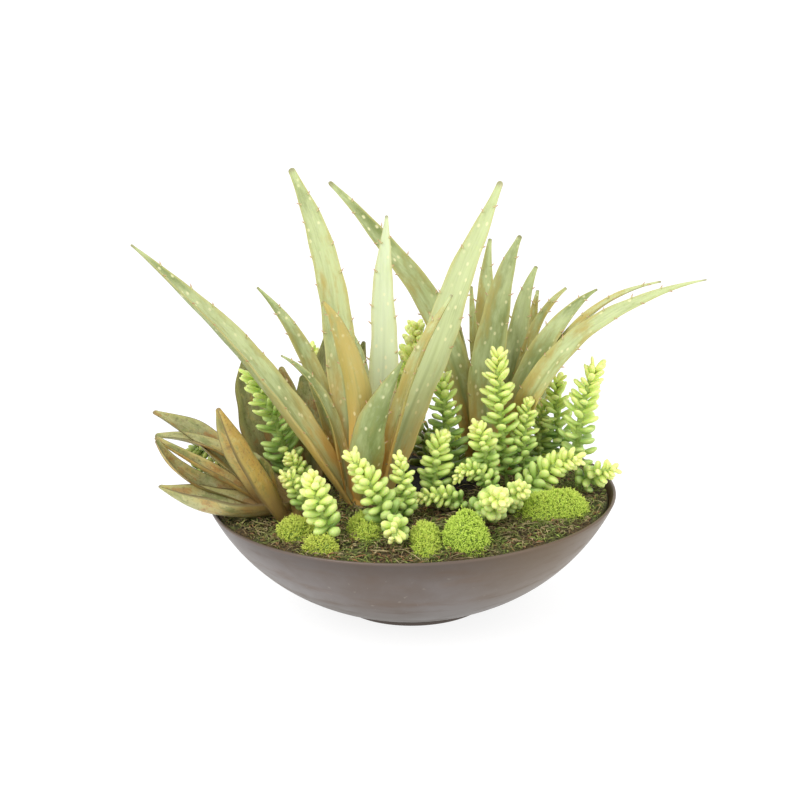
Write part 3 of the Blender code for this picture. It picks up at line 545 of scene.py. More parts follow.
# %% Leaves of the four rosettes
# Crown (x, y), then for each leaf the middle and tip of its midrib in millimetres, its greatest width, the
# way its channel faces, its fullness towards the tip, how ochre it is and how dark it is
ALOE_LEFT = ((-48, -26), (
    ((-146, -75, 267), (-247, -110, 390), 36, (0.35, -0.35, 0.85), 1.9, 0.25, 0.30),
    ((-97, -10, 246), (-146, 0, 326), 22, (0.30, -0.70, 0.60), 1.8, 0.35, 0.45),
    ((-83, -36, 216), (-123, -40, 267), 17, (0.40, -0.40, 0.80), 1.8, 0.38, 0.50),
    ((-70, -18, 305), (-107, -20, 443), 29, (0.10, -1.00, 0.20), 2.8, 0.28, 0.22),
    ((-54, -64, 252), (-80, -70, 325), 25, (0.10, 1.00, 0.30), 2.2, 0.88, 0.38),
    ((-25, -25, 281), (-18, -25, 397), 28, (0.00, -1.00, 0.15), 2.0, 0.00, -0.30),
    ((-37, -78, 201), (-6, -66, 266), 34, (-0.10, 1.00, 0.20), 1.7, 0.16, 0.32),
    ((-1, -48, 239), (42, -50, 324), 19, (-0.85, -0.50, 0.30), 2.2, 0.65, 0.30),
    ((26, -15, 267), (91, -15, 425), 34, (-0.25, -0.95, 0.20), 2.7, 0.08, -0.10),
    ((-48, 20, 213), (-59, 70, 265), 22, (0.00, -0.90, 0.40), 2.0, 0.40, 0.40),
    ((-30, 15, 221), (-24, 60, 297), 24, (0.00, -0.90, 0.40), 2.0, 0.20, 0.50),
    ((-42, 30, 168), (-40, 84, 198), 20, (0.00, -0.50, 0.90), 2.0, 0.60, 0.30),
))
ALOE_RIGHT = ((80, 54), (
    ((29, 28, 278), (-73, 10, 425), 30, (0.30, -0.90, 0.30), 2.4, 0.35, 0.45),
    ((77, 75, 255), (86, 85, 353), 23, (0.00, -1.00, 0.10), 2.2, 0.55, 0.25),
    ((68, 60, 227), (65, 62, 309), 12, (-0.20, -0.90, 0.00), 2.0, 0.65, 0.25),
    ((60, 42, 221), (49, 40, 285), 13, (-0.85, -0.50, 0.00), 2.0, 0.50, 0.20),
    ((81, 30, 255), (112, 25, 366), 33, (-0.10, -1.00, 0.10), 2.4, 0.30, 0.45),
    ((106, 50, 244), (130, 50, 330), 25, (-0.10, -1.00, 0.10), 2.2, 0.15, 0.25),
    ((121, 64, 238), (133, 72, 301), 14, (0.00, -1.00, 0.00), 2.0, 0.75, 0.40),
    ((122, 42, 248), (159, 40, 309), 14, (-0.60, -0.80, 0.20), 2.0, 0.60, 0.45),
    ((130, 20, 246), (186, 10, 313), 27, (-0.30, -0.75, 0.50), 1.8, 0.25, 0.50),
    ((153, 5, 264), (245, -10, 323), 16, (-0.45, -0.30, 0.85), 1.8, 0.55, 0.15),
    ((159, -14, 264), (283, -40, 330), 26, (-0.35, -0.75, 0.55), 1.4, 0.35, 0.15),
    ((92, 95, 210), (104, 140, 286), 24, (0.00, -0.90, 0.40), 2.0, 0.40, 0.50),
    ((72, 100, 195), (82, 140, 253), 22, (0.00, -0.90, 0.40), 2.0, 0.30, 0.50),
    ((127, 95, 157), (150, 120, 187), 20, (-0.40, -0.40, 0.80), 2.0, 0.50, 0.40),
))
AGAVE_LEFT = ((-118, -62), (
    ((-152, -96, 180), (-176, -118, 239), 34, (-0.80, -0.45, -0.40), 2.6, 0.98, 0.05),
    ((-188, -76, 128), (-242, -80, 152), 34, (0.00, -0.05, 1.00), 2.4, 0.26, -0.40),
    ((-189, -66, 157), (-244, -70, 197), 13.5, (0.10, -0.20, 0.95), 2.6, 0.65, 0.20),
    ((-205, -62, 147), (-242, -78, 197), 17, (0.35, -0.45, 0.85), 2.6, 0.45, 0.30),
    ((-178, -50, 173), (-246, -56, 194), 15, (0.00, -0.30, 0.95), 2.6, 0.45, 0.30),
    ((-188, -43, 172), (-249, -40, 214), 26, (0.00, -0.50, 0.85), 2.4, 0.35, 0.35),
    ((-138, -60, 150), (-146, -72, 174), 16, (-0.40, 0.20, 0.80), 2.4, 0.55, 0.80),
    ((-158, -28, 150), (-186, -4, 160), 24, (0.00, -0.30, 0.95), 2.4, 0.30, 0.60),
))
AGAVE_BACK = ((-113, 28), (
    ((-148, 15, 196), (-158, 10, 262), 46, (0.10, -1.00, 0.10), 3.0, 0.15, 0.30),
    ((-124, 35, 186), (-129, 40, 236), 26, (0.00, -1.00, 0.20), 2.6, 0.10, 0.15),
    ((-102, 24, 183), (-107, 27, 230), 30, (0.00, -1.00, 0.20), 2.8, 0.25, 0.35),
    ((-89, 45, 198), (-83, 55, 264), 28, (0.00, -1.00, 0.20), 2.4, 0.30, 0.40),
    ((-66, 55, 195), (-45, 65, 254), 26, (-0.20, -1.00, 0.20), 2.2, 0.70, 0.30),
    ((-116, 80, 148), (-119, 120, 178), 30, (0.00, -0.50, 0.90), 2.4, 0.30, 0.40),
    ((-145, 70, 139), (-164, 100, 152), 26, (0.20, -0.30, 0.95), 2.4, 0.40, 0.40),
))
ALOE = {
    "widest": 0.28, "foot": 0.62, "channel": 0.45, "thickness": 0.24,
    "start": 118 * MM, "spread": 16 * MM, "blunt": 1.7 * MM, "wave": 1.0,
}
AGAVE = {
    "widest": 0.42, "foot": 0.82, "channel": 0.50, "thickness": 0.28,
    "start": 121 * MM, "spread": 12 * MM, "blunt": 1.8 * MM, "wave": 1.6,
}
FOLDED_AGAVE = {**AGAVE, "channel": 0.85, "thickness": 0.22}

for crown, leaves in (ALOE_LEFT, ALOE_RIGHT, AGAVE_LEFT, AGAVE_BACK):
    print("rosette at", crown, "mm with", len(leaves), "leaves")


# %% The line and the width of a blade
def bend(root, middle, tip, t):
    """Points and unit directions of the parabola through root, middle and tip at shares t. Its knee is
    2 * middle - (root + tip) / 2."""
    knee = 2 * middle - (root + tip) / 2
    t = t[:, None]
    points = (1 - t) ** 2 * root + 2 * t * (1 - t) * knee + t**2 * tip
    return points, unit(2 * (1 - t) * (knee - root) + 2 * t * (tip - knee))


def width_share(t, kind, fullness):
    """A blade's width over its greatest width: a quarter sine up to the widest place, then one minus a
    power."""
    swell = kind["foot"] + (1 - kind["foot"]) * np.sin(math.pi / 2 * np.clip(t / kind["widest"], 0, 1))
    taper = 1 - np.clip((t - kind["widest"]) / (1 - kind["widest"]), 0, 1) ** fullness
    return swell * taper


def leaf_root(crown, leaf, kind):
    """Where the leaf leaves the crown: a little way from its middle, towards the leaf."""
    centre = np.array((*crown, 0)) * MM
    toward = np.array((*leaf[0][:2], 0)) * MM - centre
    spread = min(kind["spread"], np.linalg.norm(toward))
    return centre + unit(toward) * spread + (0, 0, kind["start"])


def blade_frame(root, leaf, t):
    """Midrib points with the directions along, across and out of the channelled side."""
    points, along = bend(root, np.array(leaf[0]) * MM, np.array(leaf[1]) * MM, t)
    face = np.array(leaf[3])
    out = unit(face - (along @ face)[:, None] * along)
    return points, along, np.cross(along, out), out


# %% The skin of a blade
BLADE_ROWS = 50
TIP_ROWS = (7, 4.5, 2.8, 1.6, 0.8, 0.2)  # their distances from the tip, in millimetres
HALF_COLUMNS = 10


def blade_skin(root, leaf, kind, seed):
    """A closed grid round a blade. Across runs from margin to margin on the channelled side and back on
    the keel. The point is midrib + across * half width * side + (lift - bulge) * out. The lift is channel
    * half width * across to the power 1.4, and the bulge on the keel is a share of the width times the
    root of one minus across squared. The midrib sways a little, each margin has its own two waves, as strong
    as the kind's wave says, and a fine ripple runs over both."""
    line = bend(root, np.array(leaf[0]) * MM, np.array(leaf[1]) * MM, np.linspace(0, 1, 40))[0]
    length = np.linalg.norm(np.diff(line, axis=0), axis=1).sum()
    near = 1 - np.array(TIP_ROWS) * MM / length
    t = np.append(np.linspace(0, 0.965, BLADE_ROWS - len(TIP_ROWS)), near)
    t = np.append(np.array([-10, -5]) * MM / length, np.sort(t))
    points, _, side, out = blade_frame(root, leaf, t)
    sway = 1.3 * MM * np.sin(t * length / (31 * MM) + 1.7 * seed) * np.clip(4 * t * (1 - t), 0, 1)
    points = points + side * sway[:, None]
    a = np.linspace(math.pi, 0, HALF_COLUMNS + 1)
    across = np.concatenate([np.cos(a), np.cos(a)[::-1][1:-1]])
    keel = np.concatenate([np.zeros(HALF_COLUMNS + 1), np.ones(HALF_COLUMNS - 1)])
    run = t * length
    blunt = kind["blunt"] * (leaf[4] / 2) ** 2
    near_tip = 1 - np.clip((length - run) / blunt, 0, 1)
    half = leaf[2] * MM / 2 * width_share(t, kind, leaf[4])
    half = np.sqrt(half**2 + blunt**2 * (1 - near_tip**2))
    slow = np.sin(run[:, None] / (19 * MM) + seed + 1.9 * across)
    quick = np.sin(run[:, None] / (7.1 * MM) + 2.3 * seed - 2.6 * across)
    reach = across * half[:, None] * (1 + kind["wave"] * (0.050 * slow + 0.028 * quick))
    lift = kind["channel"] * half[:, None] * np.abs(across) ** 1.4
    bulge = keel * kind["thickness"] * 2 * half[:, None] * np.sqrt(1 - across**2)
    ripple = 0.35 * MM * np.sin(run[:, None] / (9 * MM) + 2.0 * across + seed) * (half / half.max())[:, None]
    deep = lift - bulge + ripple
    body = points[:, None] + side[:, None] * reach[..., None] + out[:, None] * deep[..., None]
    ends = np.stack([points[0], np.array(leaf[1]) * MM])
    shape = (len(t), len(across))

    def spread(values, first, last):
        """A field of the skin: values over the grid, then one for each end point."""
        return np.concatenate([np.broadcast_to(values, shape).ravel(), [first, last]])

    quads, tris = grid_faces(*shape)
    u = reach + 0.5 * keel + 2 * seed
    v = np.broadcast_to(run[:, None], shape)
    uv = np.stack([np.append(u.ravel(), [2 * seed, 2 * seed]), np.append(v.ravel(), [0, length])], axis=-1)
    return {
        "points": np.concatenate([body.reshape(-1, 3), ends]),
        "quads": quads,
        "tris": tris,
        "uv": uv,
        "across": spread(across, 0, 0),
        "keel": spread(keel, 0.5, 0.5),
        "share": spread(t[:, None], 0, 1),
        "ochre": spread(leaf[5], leaf[5], leaf[5]),
        "dark": spread(leaf[6], leaf[6], leaf[6]),
    }


# %% [markdown]
# ### Thorns
# The thorns are small, reddish and lean towards the tip. They stand some three centimetres apart,
# on both margins almost to the end. Each is a three-row tube that thins to a point.


# %% Thorns along a blade
THORN_PITCH = 34 * MM
THORN_LENGTHS = (2.2, 4.4)
THORN_RADII = np.array([1.15, 0.75, 0.12]) * MM


def thorn_set(root, leaf, kind):
    """Thorns along both margins: roots on the margin line, and points that lean out and towards the tip."""
    lower = np.linalg.norm(np.array(leaf[0]) * MM - root)
    length = lower + np.linalg.norm(np.subtract(leaf[1], leaf[0])) * MM
    count = int(length * 0.86 / THORN_PITCH)
    shares = 0.10 + 0.86 * (np.arange(count) + luck.uniform(0.2, 0.8, count)) / count
    made = []
    for hand in (-1.0, 1.0):
        t = np.clip(shares + hand * 0.012, 0.02, 0.97)
        points, along, side, out = blade_frame(root, leaf, t)
        half = leaf[2] * MM / 2 * width_share(t, kind, leaf[4])
        margin = points + hand * side * half[:, None] + out * (kind["channel"] * half)[:, None]
        way = unit(hand * side + 0.6 * along + 0.15 * out)
        size = luck.uniform(*THORN_LENGTHS, count)[:, None] * MM
        paths = margin[:, None] + way[:, None] * size[:, None] * np.array([-0.45, 0.15, 0.8])[:, None]
        paths[:, 2] += along * 0.25 * size
        radii = np.tile(THORN_RADII, (count, 1))
        points, quads, tris = tubes(paths, radii, 5, out)
        tip = along_rows(np.tile(np.array([0.0, 0.5, 1.0]), (count, 1)), 5).ravel()
        made.append({"points": points.reshape(-1, 3), "quads": quads, "tris": tris, "tip": tip})
    return made


# %% [markdown]
# ### Leaf finishes
# Three things colour an aloe leaf: where the point is across the leaf, since margins are straw yellow, where
# it is along it, since the foot is orange, and how old the leaf is. The skins carry those numbers. Fine veins
# and spots then come from patterns laid on each leaf's own map, measured in metres.


# %% How a leaf is coloured
def leaf_finish(name, light, deep, ochre, foot_colour, margin, spotted):
    """Light and deep green mixed by shade, with the keel darker partly as painted shade, then ochre by age,
    veins, painted shade in the crease, spots or blotches, and the margin, the foot and the tip on top."""

    def grain(stretch, scale, detail, rough):
        """Noise on the leaf's own map, drawn out along the leaf where the stretch is small."""
        return made.noise(made.place((1, stretch, 1), "UV"), scale, detail, rough)

    radius = (0.8, 1.0, 0.4)
    made = Finish(name, 0.5, subsurface_weight=0.12, subsurface_scale=0.004, subsurface_radius=radius)
    across = made.field("across").size()
    share = made.field("share")
    age = made.field("ochre")
    dark = made.field("dark")
    keel = made.field("keel")
    veins = grain(0.03, 700.0, 3.0, 0.6)
    streak = grain(0.05, 240.0, 3.0, 0.6).step(0.50, 0.70)
    cloud = grain(0.25, 85.0, 4.0, 0.65).step(0.28, 0.72)
    broad = grain(0.5, 24.0, 2.0, 0.5).step(0.28, 0.72)
    # Partly painted shade: the keel, the leaf's underside, is darker, both its own olive-brown and shade.
    shade = dark + 0.60 * (cloud - 0.5) + 0.45 * (broad - 0.5) + 0.50 * keel
    colour = made.mix(shade.step(0.0, 1.0), light, deep)
    rust = age + 0.60 * (cloud - 0.5) + 0.45 * (0.5 - broad) - 0.25 * share.step(0.55, 1.0)
    rust = rust + 0.24 * (1 - share.step(0.0, 0.45)) + 0.20 * across + 0.04 * keel
    colour = made.mix(rust.step(0.30, 1.0), colour, ochre)
    colour = made.mix(veins.step(0.45, 0.75) * 0.16 + streak * 0.22, colour, deep)
    bloom = grain(0.5, 190.0, 3.0, 0.7)
    colour = made.mix(bloom.step(0.52, 0.78) * 0.16, colour, (0.60, 0.68, 0.50))
    # Painted shade: the crease down the middle of the channel is darkened.
    crease_shade = (1 - across.step(0.0, 0.16)) * (1 - keel.step(0.2, 0.6)) * (1 - share.step(0.25, 0.75))
    colour = made.mix(crease_shade * 0.45, colour, deep)
    if spotted:
        pale = (0 - dark).step(0.05, 0.35) * (0.35 + 0.30 * broad)
        colour = made.mix(pale, colour, (0.74, 0.82, 0.60))
        cells = made.node(
            "ShaderNodeTexVoronoi", {"voronoi_dimensions": "2D"},
            {"Vector": made.place((1, 0.66, 1), "UV"), "Scale": 92.0, "Randomness": 0.9},
        )
        spots = (1 - cells.step(0.060, 0.160)) * (1 - across.step(0.80, 0.92)) * broad.step(0.25, 0.60)
        colour = made.mix(spots * 0.75, colour, (0.84, 0.81, 0.48))
    else:
        patches = grain(0.35, 70.0, 5.0, 0.7)
        colour = made.mix(patches.step(0.53, 0.60) * 0.65, colour, (0.41, 0.195, 0.050))
        colour = made.mix((1 - patches.step(0.40, 0.49)) * 0.72, colour, (0.210, 0.245, 0.075))
        blotch = grain(0.5, 130.0, 4.0, 0.7)
        colour = made.mix(blotch.step(0.56, 0.66) * 0.55, colour, (0.56, 0.47, 0.17))
        colour = made.mix((1 - blotch.step(0.34, 0.44)) * 0.50, colour, (0.165, 0.115, 0.045))
        scars = grain(0.8, 430.0, 4.0, 0.7)
        colour = made.mix(scars.step(0.54, 0.68) * 0.55, colour, (0.085, 0.055, 0.028))
    band = across.step(0.66, 0.92) * (0.20 + 0.55 * cloud)
    colour = made.mix(band * (1 - 0.55 * keel), colour, (0.52, 0.49, 0.18))
    edge = across.step(0.93, 0.995)
    colour = made.mix(edge * 0.70, colour, margin)
    orange = (1 - share.step(0.10, 0.44)) * (0.4 * cloud + 0.6 * across + 0.4 * age + 0.10).step(0.25, 0.85)
    colour = made.mix(orange * (0.50 + 0.55 * age), colour, foot_colour)
    colour = made.mix(share.step(0.975, 0.998) * 0.6, colour, (0.20, 0.14, 0.08))
    made.put("Base Color", colour)
    made.put("Roughness", 0.44 + 0.22 * cloud)
    made.bump(cloud + 0.4 * veins + 0.6 * streak + 0.4 * bloom, 0.35 if spotted else 0.60, 1.0 * MM)
    return made.material


# %% Skins of the aloes, the agaves and the thorns
aloe_skin = leaf_finish(
    "aloe_skin", (0.56, 0.625, 0.310), (0.215, 0.265, 0.082), (0.50, 0.39, 0.105), (0.78, 0.45, 0.115),
    (0.56, 0.50, 0.19), True
)
agave_skin = leaf_finish(
    "agave_skin", (0.48, 0.47, 0.21), (0.135, 0.140, 0.052), (0.51, 0.33, 0.072), (0.28, 0.17, 0.055),
    (0.13, 0.075, 0.035), False
)
thorn = Finish("aloe_thorn", 0.4)
thorn.put("Base Color", thorn.mix(thorn.field("tip").step(0.1, 1.0), (0.58, 0.54, 0.26), (0.50, 0.20, 0.11)))


# %% The short stem under a rosette
def stump(crown, radius):
    """A tube from inside the soil up to the crown, a little narrower at its top."""
    z = np.linspace(93, 116, 5) * MM
    path = np.stack([np.full(5, crown[0] * MM), np.full(5, crown[1] * MM), z], axis=-1)[None]
    points, quads, tris = tubes(path, np.linspace(1, 0.8, 5)[None] * radius * MM, 16, np.array([[1.0, 0, 0]]))
    n = points.shape[1]
    plain = {key: np.full(n, value) for key, value in
             {"across": 0.3, "keel": 0.0, "share": 0.02, "ochre": 0.3, "dark": 1.2}.items()}
    return {"points": points[0], "quads": quads, "tris": tris, "uv": points[0][:, :2], **plain}


def rosette(name, slot, plan, kind, stump_radius, skin):
    """All the blades of one plant as one piece."""
    crown, leaves = plan
    blades = [blade_skin(leaf_root(crown, leaf, kind), leaf, kind, i + 1.0) for i, leaf in enumerate(leaves)]
    return piece(name + "_leaves", slot, [name], skin, **joined(stump(crown, stump_radius), *blades))


def thorny(name, plan):
    """The thorns of one aloe as one piece."""
    crown, leaves = plan
    sets = [group for leaf in leaves for group in thorn_set(leaf_root(crown, leaf, ALOE), leaf, ALOE)]
    return piece(name + "_thorns", "aloe_leaf", [name], thorn.material, **joined(*sets))


# %% Grow the rosettes
blades = [
    rosette("aloe_left", "aloe_leaf", ALOE_LEFT, ALOE, 19, aloe_skin),
    rosette("aloe_right", "aloe_leaf", ALOE_RIGHT, ALOE, 19, aloe_skin),
    rosette("agave_left", "agave_leaf", AGAVE_LEFT, FOLDED_AGAVE, 15, agave_skin),
    rosette("agave_back", "agave_leaf", AGAVE_BACK, AGAVE, 15, agave_skin),
]
thorny("aloe_left", ALOE_LEFT)
thorny("aloe_right", ALOE_RIGHT)

# %% [markdown]
# ## Cushions of reindeer moss
# Reindeer moss is a lichen: a dense ball of forked threads a millimetre thick. Hair would be the usual tool,
# but hair is lost when a model is exported, so every thread here is a real tube that leaves a core ball,
# curls and forks into two twigs. The core and the inner ends of the threads are painted dark as the shade
# inside the cushion, and the outer tips are painted light.

# %% Cushion places
# Centre (x, y), the two radii of the plan, its turn in degrees, the height of the top and how yellow it is
CUSHIONS = (
    ((-110, -113), (18, 22), 29, 129, 0.8),
    ((-86, -150), (15, 19), 35, 123, 0.9),
    ((-46, -110), (15, 34), 5, 128, 0.6),
    ((10, -143), (14, 38), 0, 128, 0.5),
    ((47, -144), (21.5, 35), 0, 141, 0.0),
    ((134, -67), (44, 29), 26, 132, 0.35),
    ((-135, 98), (20, 32), -36, 128, 0.3),
    ((-30, 152), (34, 22), 0, 131, 0.2),
    ((62, 143), (30, 20), -20, 128, 0.5),
    ((146, 82), (18, 30), 29, 126, 0.4),
)
THREAD_AREA = 2.7 * MM**2
THREAD_AREA_BEHIND = 4.4 * MM**2
SUNK = 2  # how far a cushion sits in the bed, in millimetres
MAIN_LENGTHS, MAIN_RADII = (1.8, 3.2), (0.46, 0.46, 0.36)
TWIG_LENGTHS, TWIG_RADII = (1.5, 2.8), (0.42, 0.24)
print("cushions:", len(CUSHIONS))

# %% Finish of the cushions
lichen = Finish("reindeer_moss", 0.7)
# Painted shade and light: threads are dark where they leave the core and lightest at their outer tips.
outward = lichen.field("outward")
shade = lichen.mix(outward.step(0.0, 0.70), (0.130, 0.200, 0.022), (0.460, 0.650, 0.066))
shade = lichen.mix(outward.step(0.60, 1.0), shade, (0.740, 0.930, 0.150))
shade = lichen.mix(lichen.field("tone").step(0.2, 1.2) * 0.6, shade, (0.68, 0.64, 0.12))
lichen.put("Base Color", shade)


# %% Even directions, curved twigs and soft knobs
def spiral_dome(count):
    """Even directions over the upper part of a ball: the height falls evenly and the turn is the golden
    angle."""
    k = (np.arange(count) + 0.5) / count
    z = 1 - 1.12 * k
    a = math.radians(137.508) * np.arange(count)
    flat = np.sqrt(np.maximum(0, 1 - z**2))
    return np.stack([flat * np.cos(a), flat * np.sin(a), z], axis=-1)


def branch(starts, ways, lengths, curl, rows):
    """Curved paths: each leaves its start along its way and is pushed sideways by curl times the share
    squared."""
    s = np.linspace(0, 1, rows)[None, :, None]
    return starts[:, None] + lengths[:, None, None] * (ways[:, None] * s + curl[:, None] * s**2)


def lumps(ways, seed):
    """A radius share for each direction, from slow waves that dent a ball into a few soft knobs."""
    x, y, z = 3.1 * ways.T
    slow = 0.04 * np.sin(x + seed) * np.cos(1.3 * y + 2 * seed)
    return 0.93 + slow + 0.04 * np.sin(2.2 * x - y + z + 3 * seed)


# %% One cushion
def cushion(name, plan, seed):
    """A dome of forked threads round a core, which is painted dark as the shade inside the cushion. Those
    behind the plants have fewer threads.
    """
    (x, y), (wide, deep), angle, top, yellow = plan
    centre = np.array((x * MM, y * MM, BED_EDGE_HEIGHT - SUNK * MM))
    size = np.array((wide, deep, top + SUNK - BED_EDGE_HEIGHT / MM)) * MM
    a = math.radians(angle)
    spin = np.array(((math.cos(a), math.sin(a), 0), (-math.sin(a), math.cos(a), 0), (0, 0, 1)))
    area = THREAD_AREA if y < 0 else THREAD_AREA_BEHIND
    count = int(2 * math.pi * wide * deep * 1.25 * MM**2 / area)
    ball = unit(spiral_dome(count) + luck.normal(0, 0.06, (count, 3)))
    base = centre + (ball * size * (lumps(ball, seed) - 0.07)[:, None]) @ spin
    ways = unit((ball / size) @ spin)
    sway = luck.normal(0, 0.55, (count, 3))
    length = luck.uniform(*MAIN_LENGTHS, count) * MM
    main = branch(base - ways * 1.3 * MM, unit(ways + 0.6 * sway), length + 1.2 * MM, 0.6 * sway, 3)
    thick = np.sqrt(area / THREAD_AREA)
    r = np.tile(np.array(MAIN_RADII) * thick * MM, (count, 1))
    points, quads, tris = tubes(main, r, 3, unit(luck.normal(size=(count, 3))))
    tone = 0.5 * luck.random(count) + 0.7 * yellow
    groups = [{"points": points, "quads": quads, "tris": tris,
               "outward": along_rows(np.tile(np.array([0.0, 0.45, 0.85]), (count, 1)), 3),
               "tone": per_path(tone, points)}]
    for hand in (-1, 1):
        fork = unit(main[:, -1] - main[:, -2] + hand * length[:, None] * 0.55 * unit(np.cross(ways, sway)))
        start = (main[:, -1] + main[:, -2]) / 2
        reach = luck.uniform(*TWIG_LENGTHS, count) * MM
        twigs = branch(start, fork, reach, 0.4 * luck.normal(size=(count, 3)), 2)
        thin = np.tile(np.array(TWIG_RADII) * thick * MM, (count, 1))
        points, quads, tris = tubes(twigs, thin, 3, unit(luck.normal(size=(count, 3))))
        groups.append({"points": points, "quads": quads, "tris": tris,
                       "outward": along_rows(np.tile(np.array([0.65, 1.0]), (count, 1)), 3),
                       "tone": per_path(tone, points)})
    z = np.linspace(-0.2, 1, 14)[:-1]
    core = turned(np.stack([np.sqrt(1 - z**2), z], axis=-1), 28)
    ball = core["points"]
    core["points"] = centre + (ball * size * (lumps(ball, seed) - 0.05)[:, None]) @ spin
    # Painted shade: the core ball is coloured as the dark inside of the cushion.
    core["outward"] = np.full(len(ball), 0.15)
    core["tone"] = np.zeros(len(ball))
    groups.append(core)
    return piece(name + "_threads", "reindeer_moss", [name], lichen.material, **joined(*groups))


# %% Grow the cushions
for number, plan in enumerate(CUSHIONS):
    cushion(f"reindeer_moss_{number + 1:02d}", plan, number)

# %% [markdown]
# ## Stonecrop
# A sprig of this stonecrop carries plump leaves like beads of jade, packed round a stem by the golden angle
# and smaller and more upright towards the tip. The young tips are lime, and the leaves below turn a deeper
# green, partly their own colour and partly painted shade, which also darkens each leaf where it meets the
# stem. Sprigs that stand in shade are painted darker and olive. The frame has fewer, wider leaves on the
# same stems. Where a leaf would run into a blade it is turned in towards its own stem, as a crowded leaf
# is in life.

# %% Sprig places
# Root (x, y), the middle and the tip of the stem, leaf length, where the leaves begin, how deep in painted
# shade they stand (which also makes their leaves droop and narrow as old ones do) and how loosely they stand
SPRIGS = (
    ((-119, -28), (-130, -32, 195), (-153, -36, 247), 19, 0.12, 0.35, 1.0),
    ((-98, -44), (-109, -48, 152), (-118, -50, 168), 13, 0.10, 0.10, 0.0),
    ((-99, -80), (-110, -81, 147), (-121, -85, 160), 13, 0.12, 0.05, 0.0),
    ((-76, -132), (-87, -136, 150), (-92, -132, 173), 18, 0.06, 0.00, 0.0),
    ((-20, -112), (-38, -112, 154), (-56, -108, 185), 18, 0.06, 0.05, 0.0),
    ((-9, -90), (-9, -91, 146), (-12, -88, 176), 15, 0.06, 0.10, 0.0),
    ((-16, -140), (-17, -152, 131), (-19, -171, 127), 14, 0.20, 0.00, 0.0),
    ((23, -45), (23, -45, 158), (30, -42, 182), 17, 0.08, 0.15, 0.4),
    ((40, 4), (35, 4, 181), (33, 6, 226), 20, 0.08, 0.35, 1.0),
    ((54, -62), (31, -70, 131), (6, -80, 133), 13, 0.10, 0.15, 0.0),
    ((86, -56), (62, -54, 150), (43, -62, 146), 12, 0.10, 0.10, 0.0),
    ((64, -88), (74, -112, 137), (79, -142, 152), 18, 0.15, 0.00, 0.0),
    ((95, -10), (88, -12, 199), (86, -15, 254), 19, 0.08, 0.05, 1.0),
    ((112, -2), (112, -2, 168), (117, -3, 202), 15, 0.15, 0.10, 0.6),
    ((76, -28), (70, -44, 169), (64, -46, 192), 15, 0.20, 0.05, 0.3),
    ((131, 34), (131, 38, 157), (134, 38, 182), 15, 0.15, 0.48, 0.5),
    ((160, 44), (150, 42, 172), (150, 40, 213), 18, 0.18, 0.20, 0.8),
    ((166, 6), (170, 0, 191), (183, -5, 237), 18, 0.12, 0.05, 1.0),
    ((104, -40), (134, -34, 144), (160, -46, 158), 17, 0.08, 0.00, 0.3),
    ((168, -6), (182, -24, 134), (196, -36, 143), 15, 0.10, 0.00, 0.3),
    ((-6, 36), (0, 48, 206), (7, 52, 270), 20, 0.18, -0.30, 0.2),
    ((-94, 66), (-95, 77, 185), (-100, 84, 240), 17, 0.15, 0.20, 0.5),
    ((-60, 105), (-62, 112, 150), (-68, 120, 185), 15, 0.10, 0.20, 0.5),
    ((-14, 112), (-12, 118, 140), (-6, 126, 163), 15, 0.10, 0.10, 0.5),
    ((112, 122), (116, 130, 150), (122, 136, 176), 15, 0.10, 0.10, 0.5),
    ((-152, 34), (-190, 24, 134), (-222, 14, 134), 16, 0.10, 0.75, 0.3),
    ((-143, 50), (-190, 46, 146), (-222, 42, 148), 18, 0.10, 0.70, 0.3),
    ((88, -66), (97, -82, 134), (104, -98, 146), 14, 0.10, 0.10, 0.0),
    ((16, 64), (15, 66, 136), (19, 66, 158), 17, 0.10, 0.90, 0.6),
    ((44, 44), (46, 42, 132), (50, 40, 150), 15, 0.10, 0.80, 0.6),
)
STEM_BASE = 90 * MM
STEM_COLLAR = 117 * MM
LEAF_PITCH = 1.5 * MM
LEAF_WIDTH_SHARE = 0.64
LEAF_FLATNESS = 0.79
LOOSE_PITCH = 0.42
LOOSE_FLATNESS = 0.23
GOLDEN = math.radians(137.508)
SPREAD = (82, 46)
FULL_STEM = 60 * MM
TURNED_IN = (0, 12, 24, 36, 48)

green_glow = (0.5, 1.0, 0.2)
print("sprigs:", len(SPRIGS))

# %% Finish of the sprigs
jade = Finish(
    "stonecrop_leaf", 0.36, subsurface_weight=0.35, subsurface_scale=0.005, subsurface_radius=green_glow
)
height = jade.field("height")
tip = jade.field("share")
tone = jade.field("tone")
# Partly painted shade: leaves deepen from lime at the tip to dark green low on the sprig, the young growth's
# own colour and shade lower down.
youth_and_shade = height + 0.30 * (tone - 0.5)
shade = jade.mix(youth_and_shade.step(-0.5, -0.05), (0.095, 0.160, 0.038), (0.300, 0.465, 0.105))
shade = jade.mix(youth_and_shade.step(-0.05, 0.45), shade, (0.650, 0.795, 0.205))
shade = jade.mix(youth_and_shade.step(0.35, 0.95), shade, (0.865, 0.935, 0.310))
shade = jade.mix(tip.step(0.45, 1.0) * (0.10 + 0.30 * youth_and_shade.step(-0.3, 0.3)), shade, (0.840, 0.910, 0.360))
# Painted shade: each leaf darkens where it meets the stem.
shade = jade.mix((1 - tip.step(0.0, 0.45)) * 0.10, shade, (0.170, 0.280, 0.060))
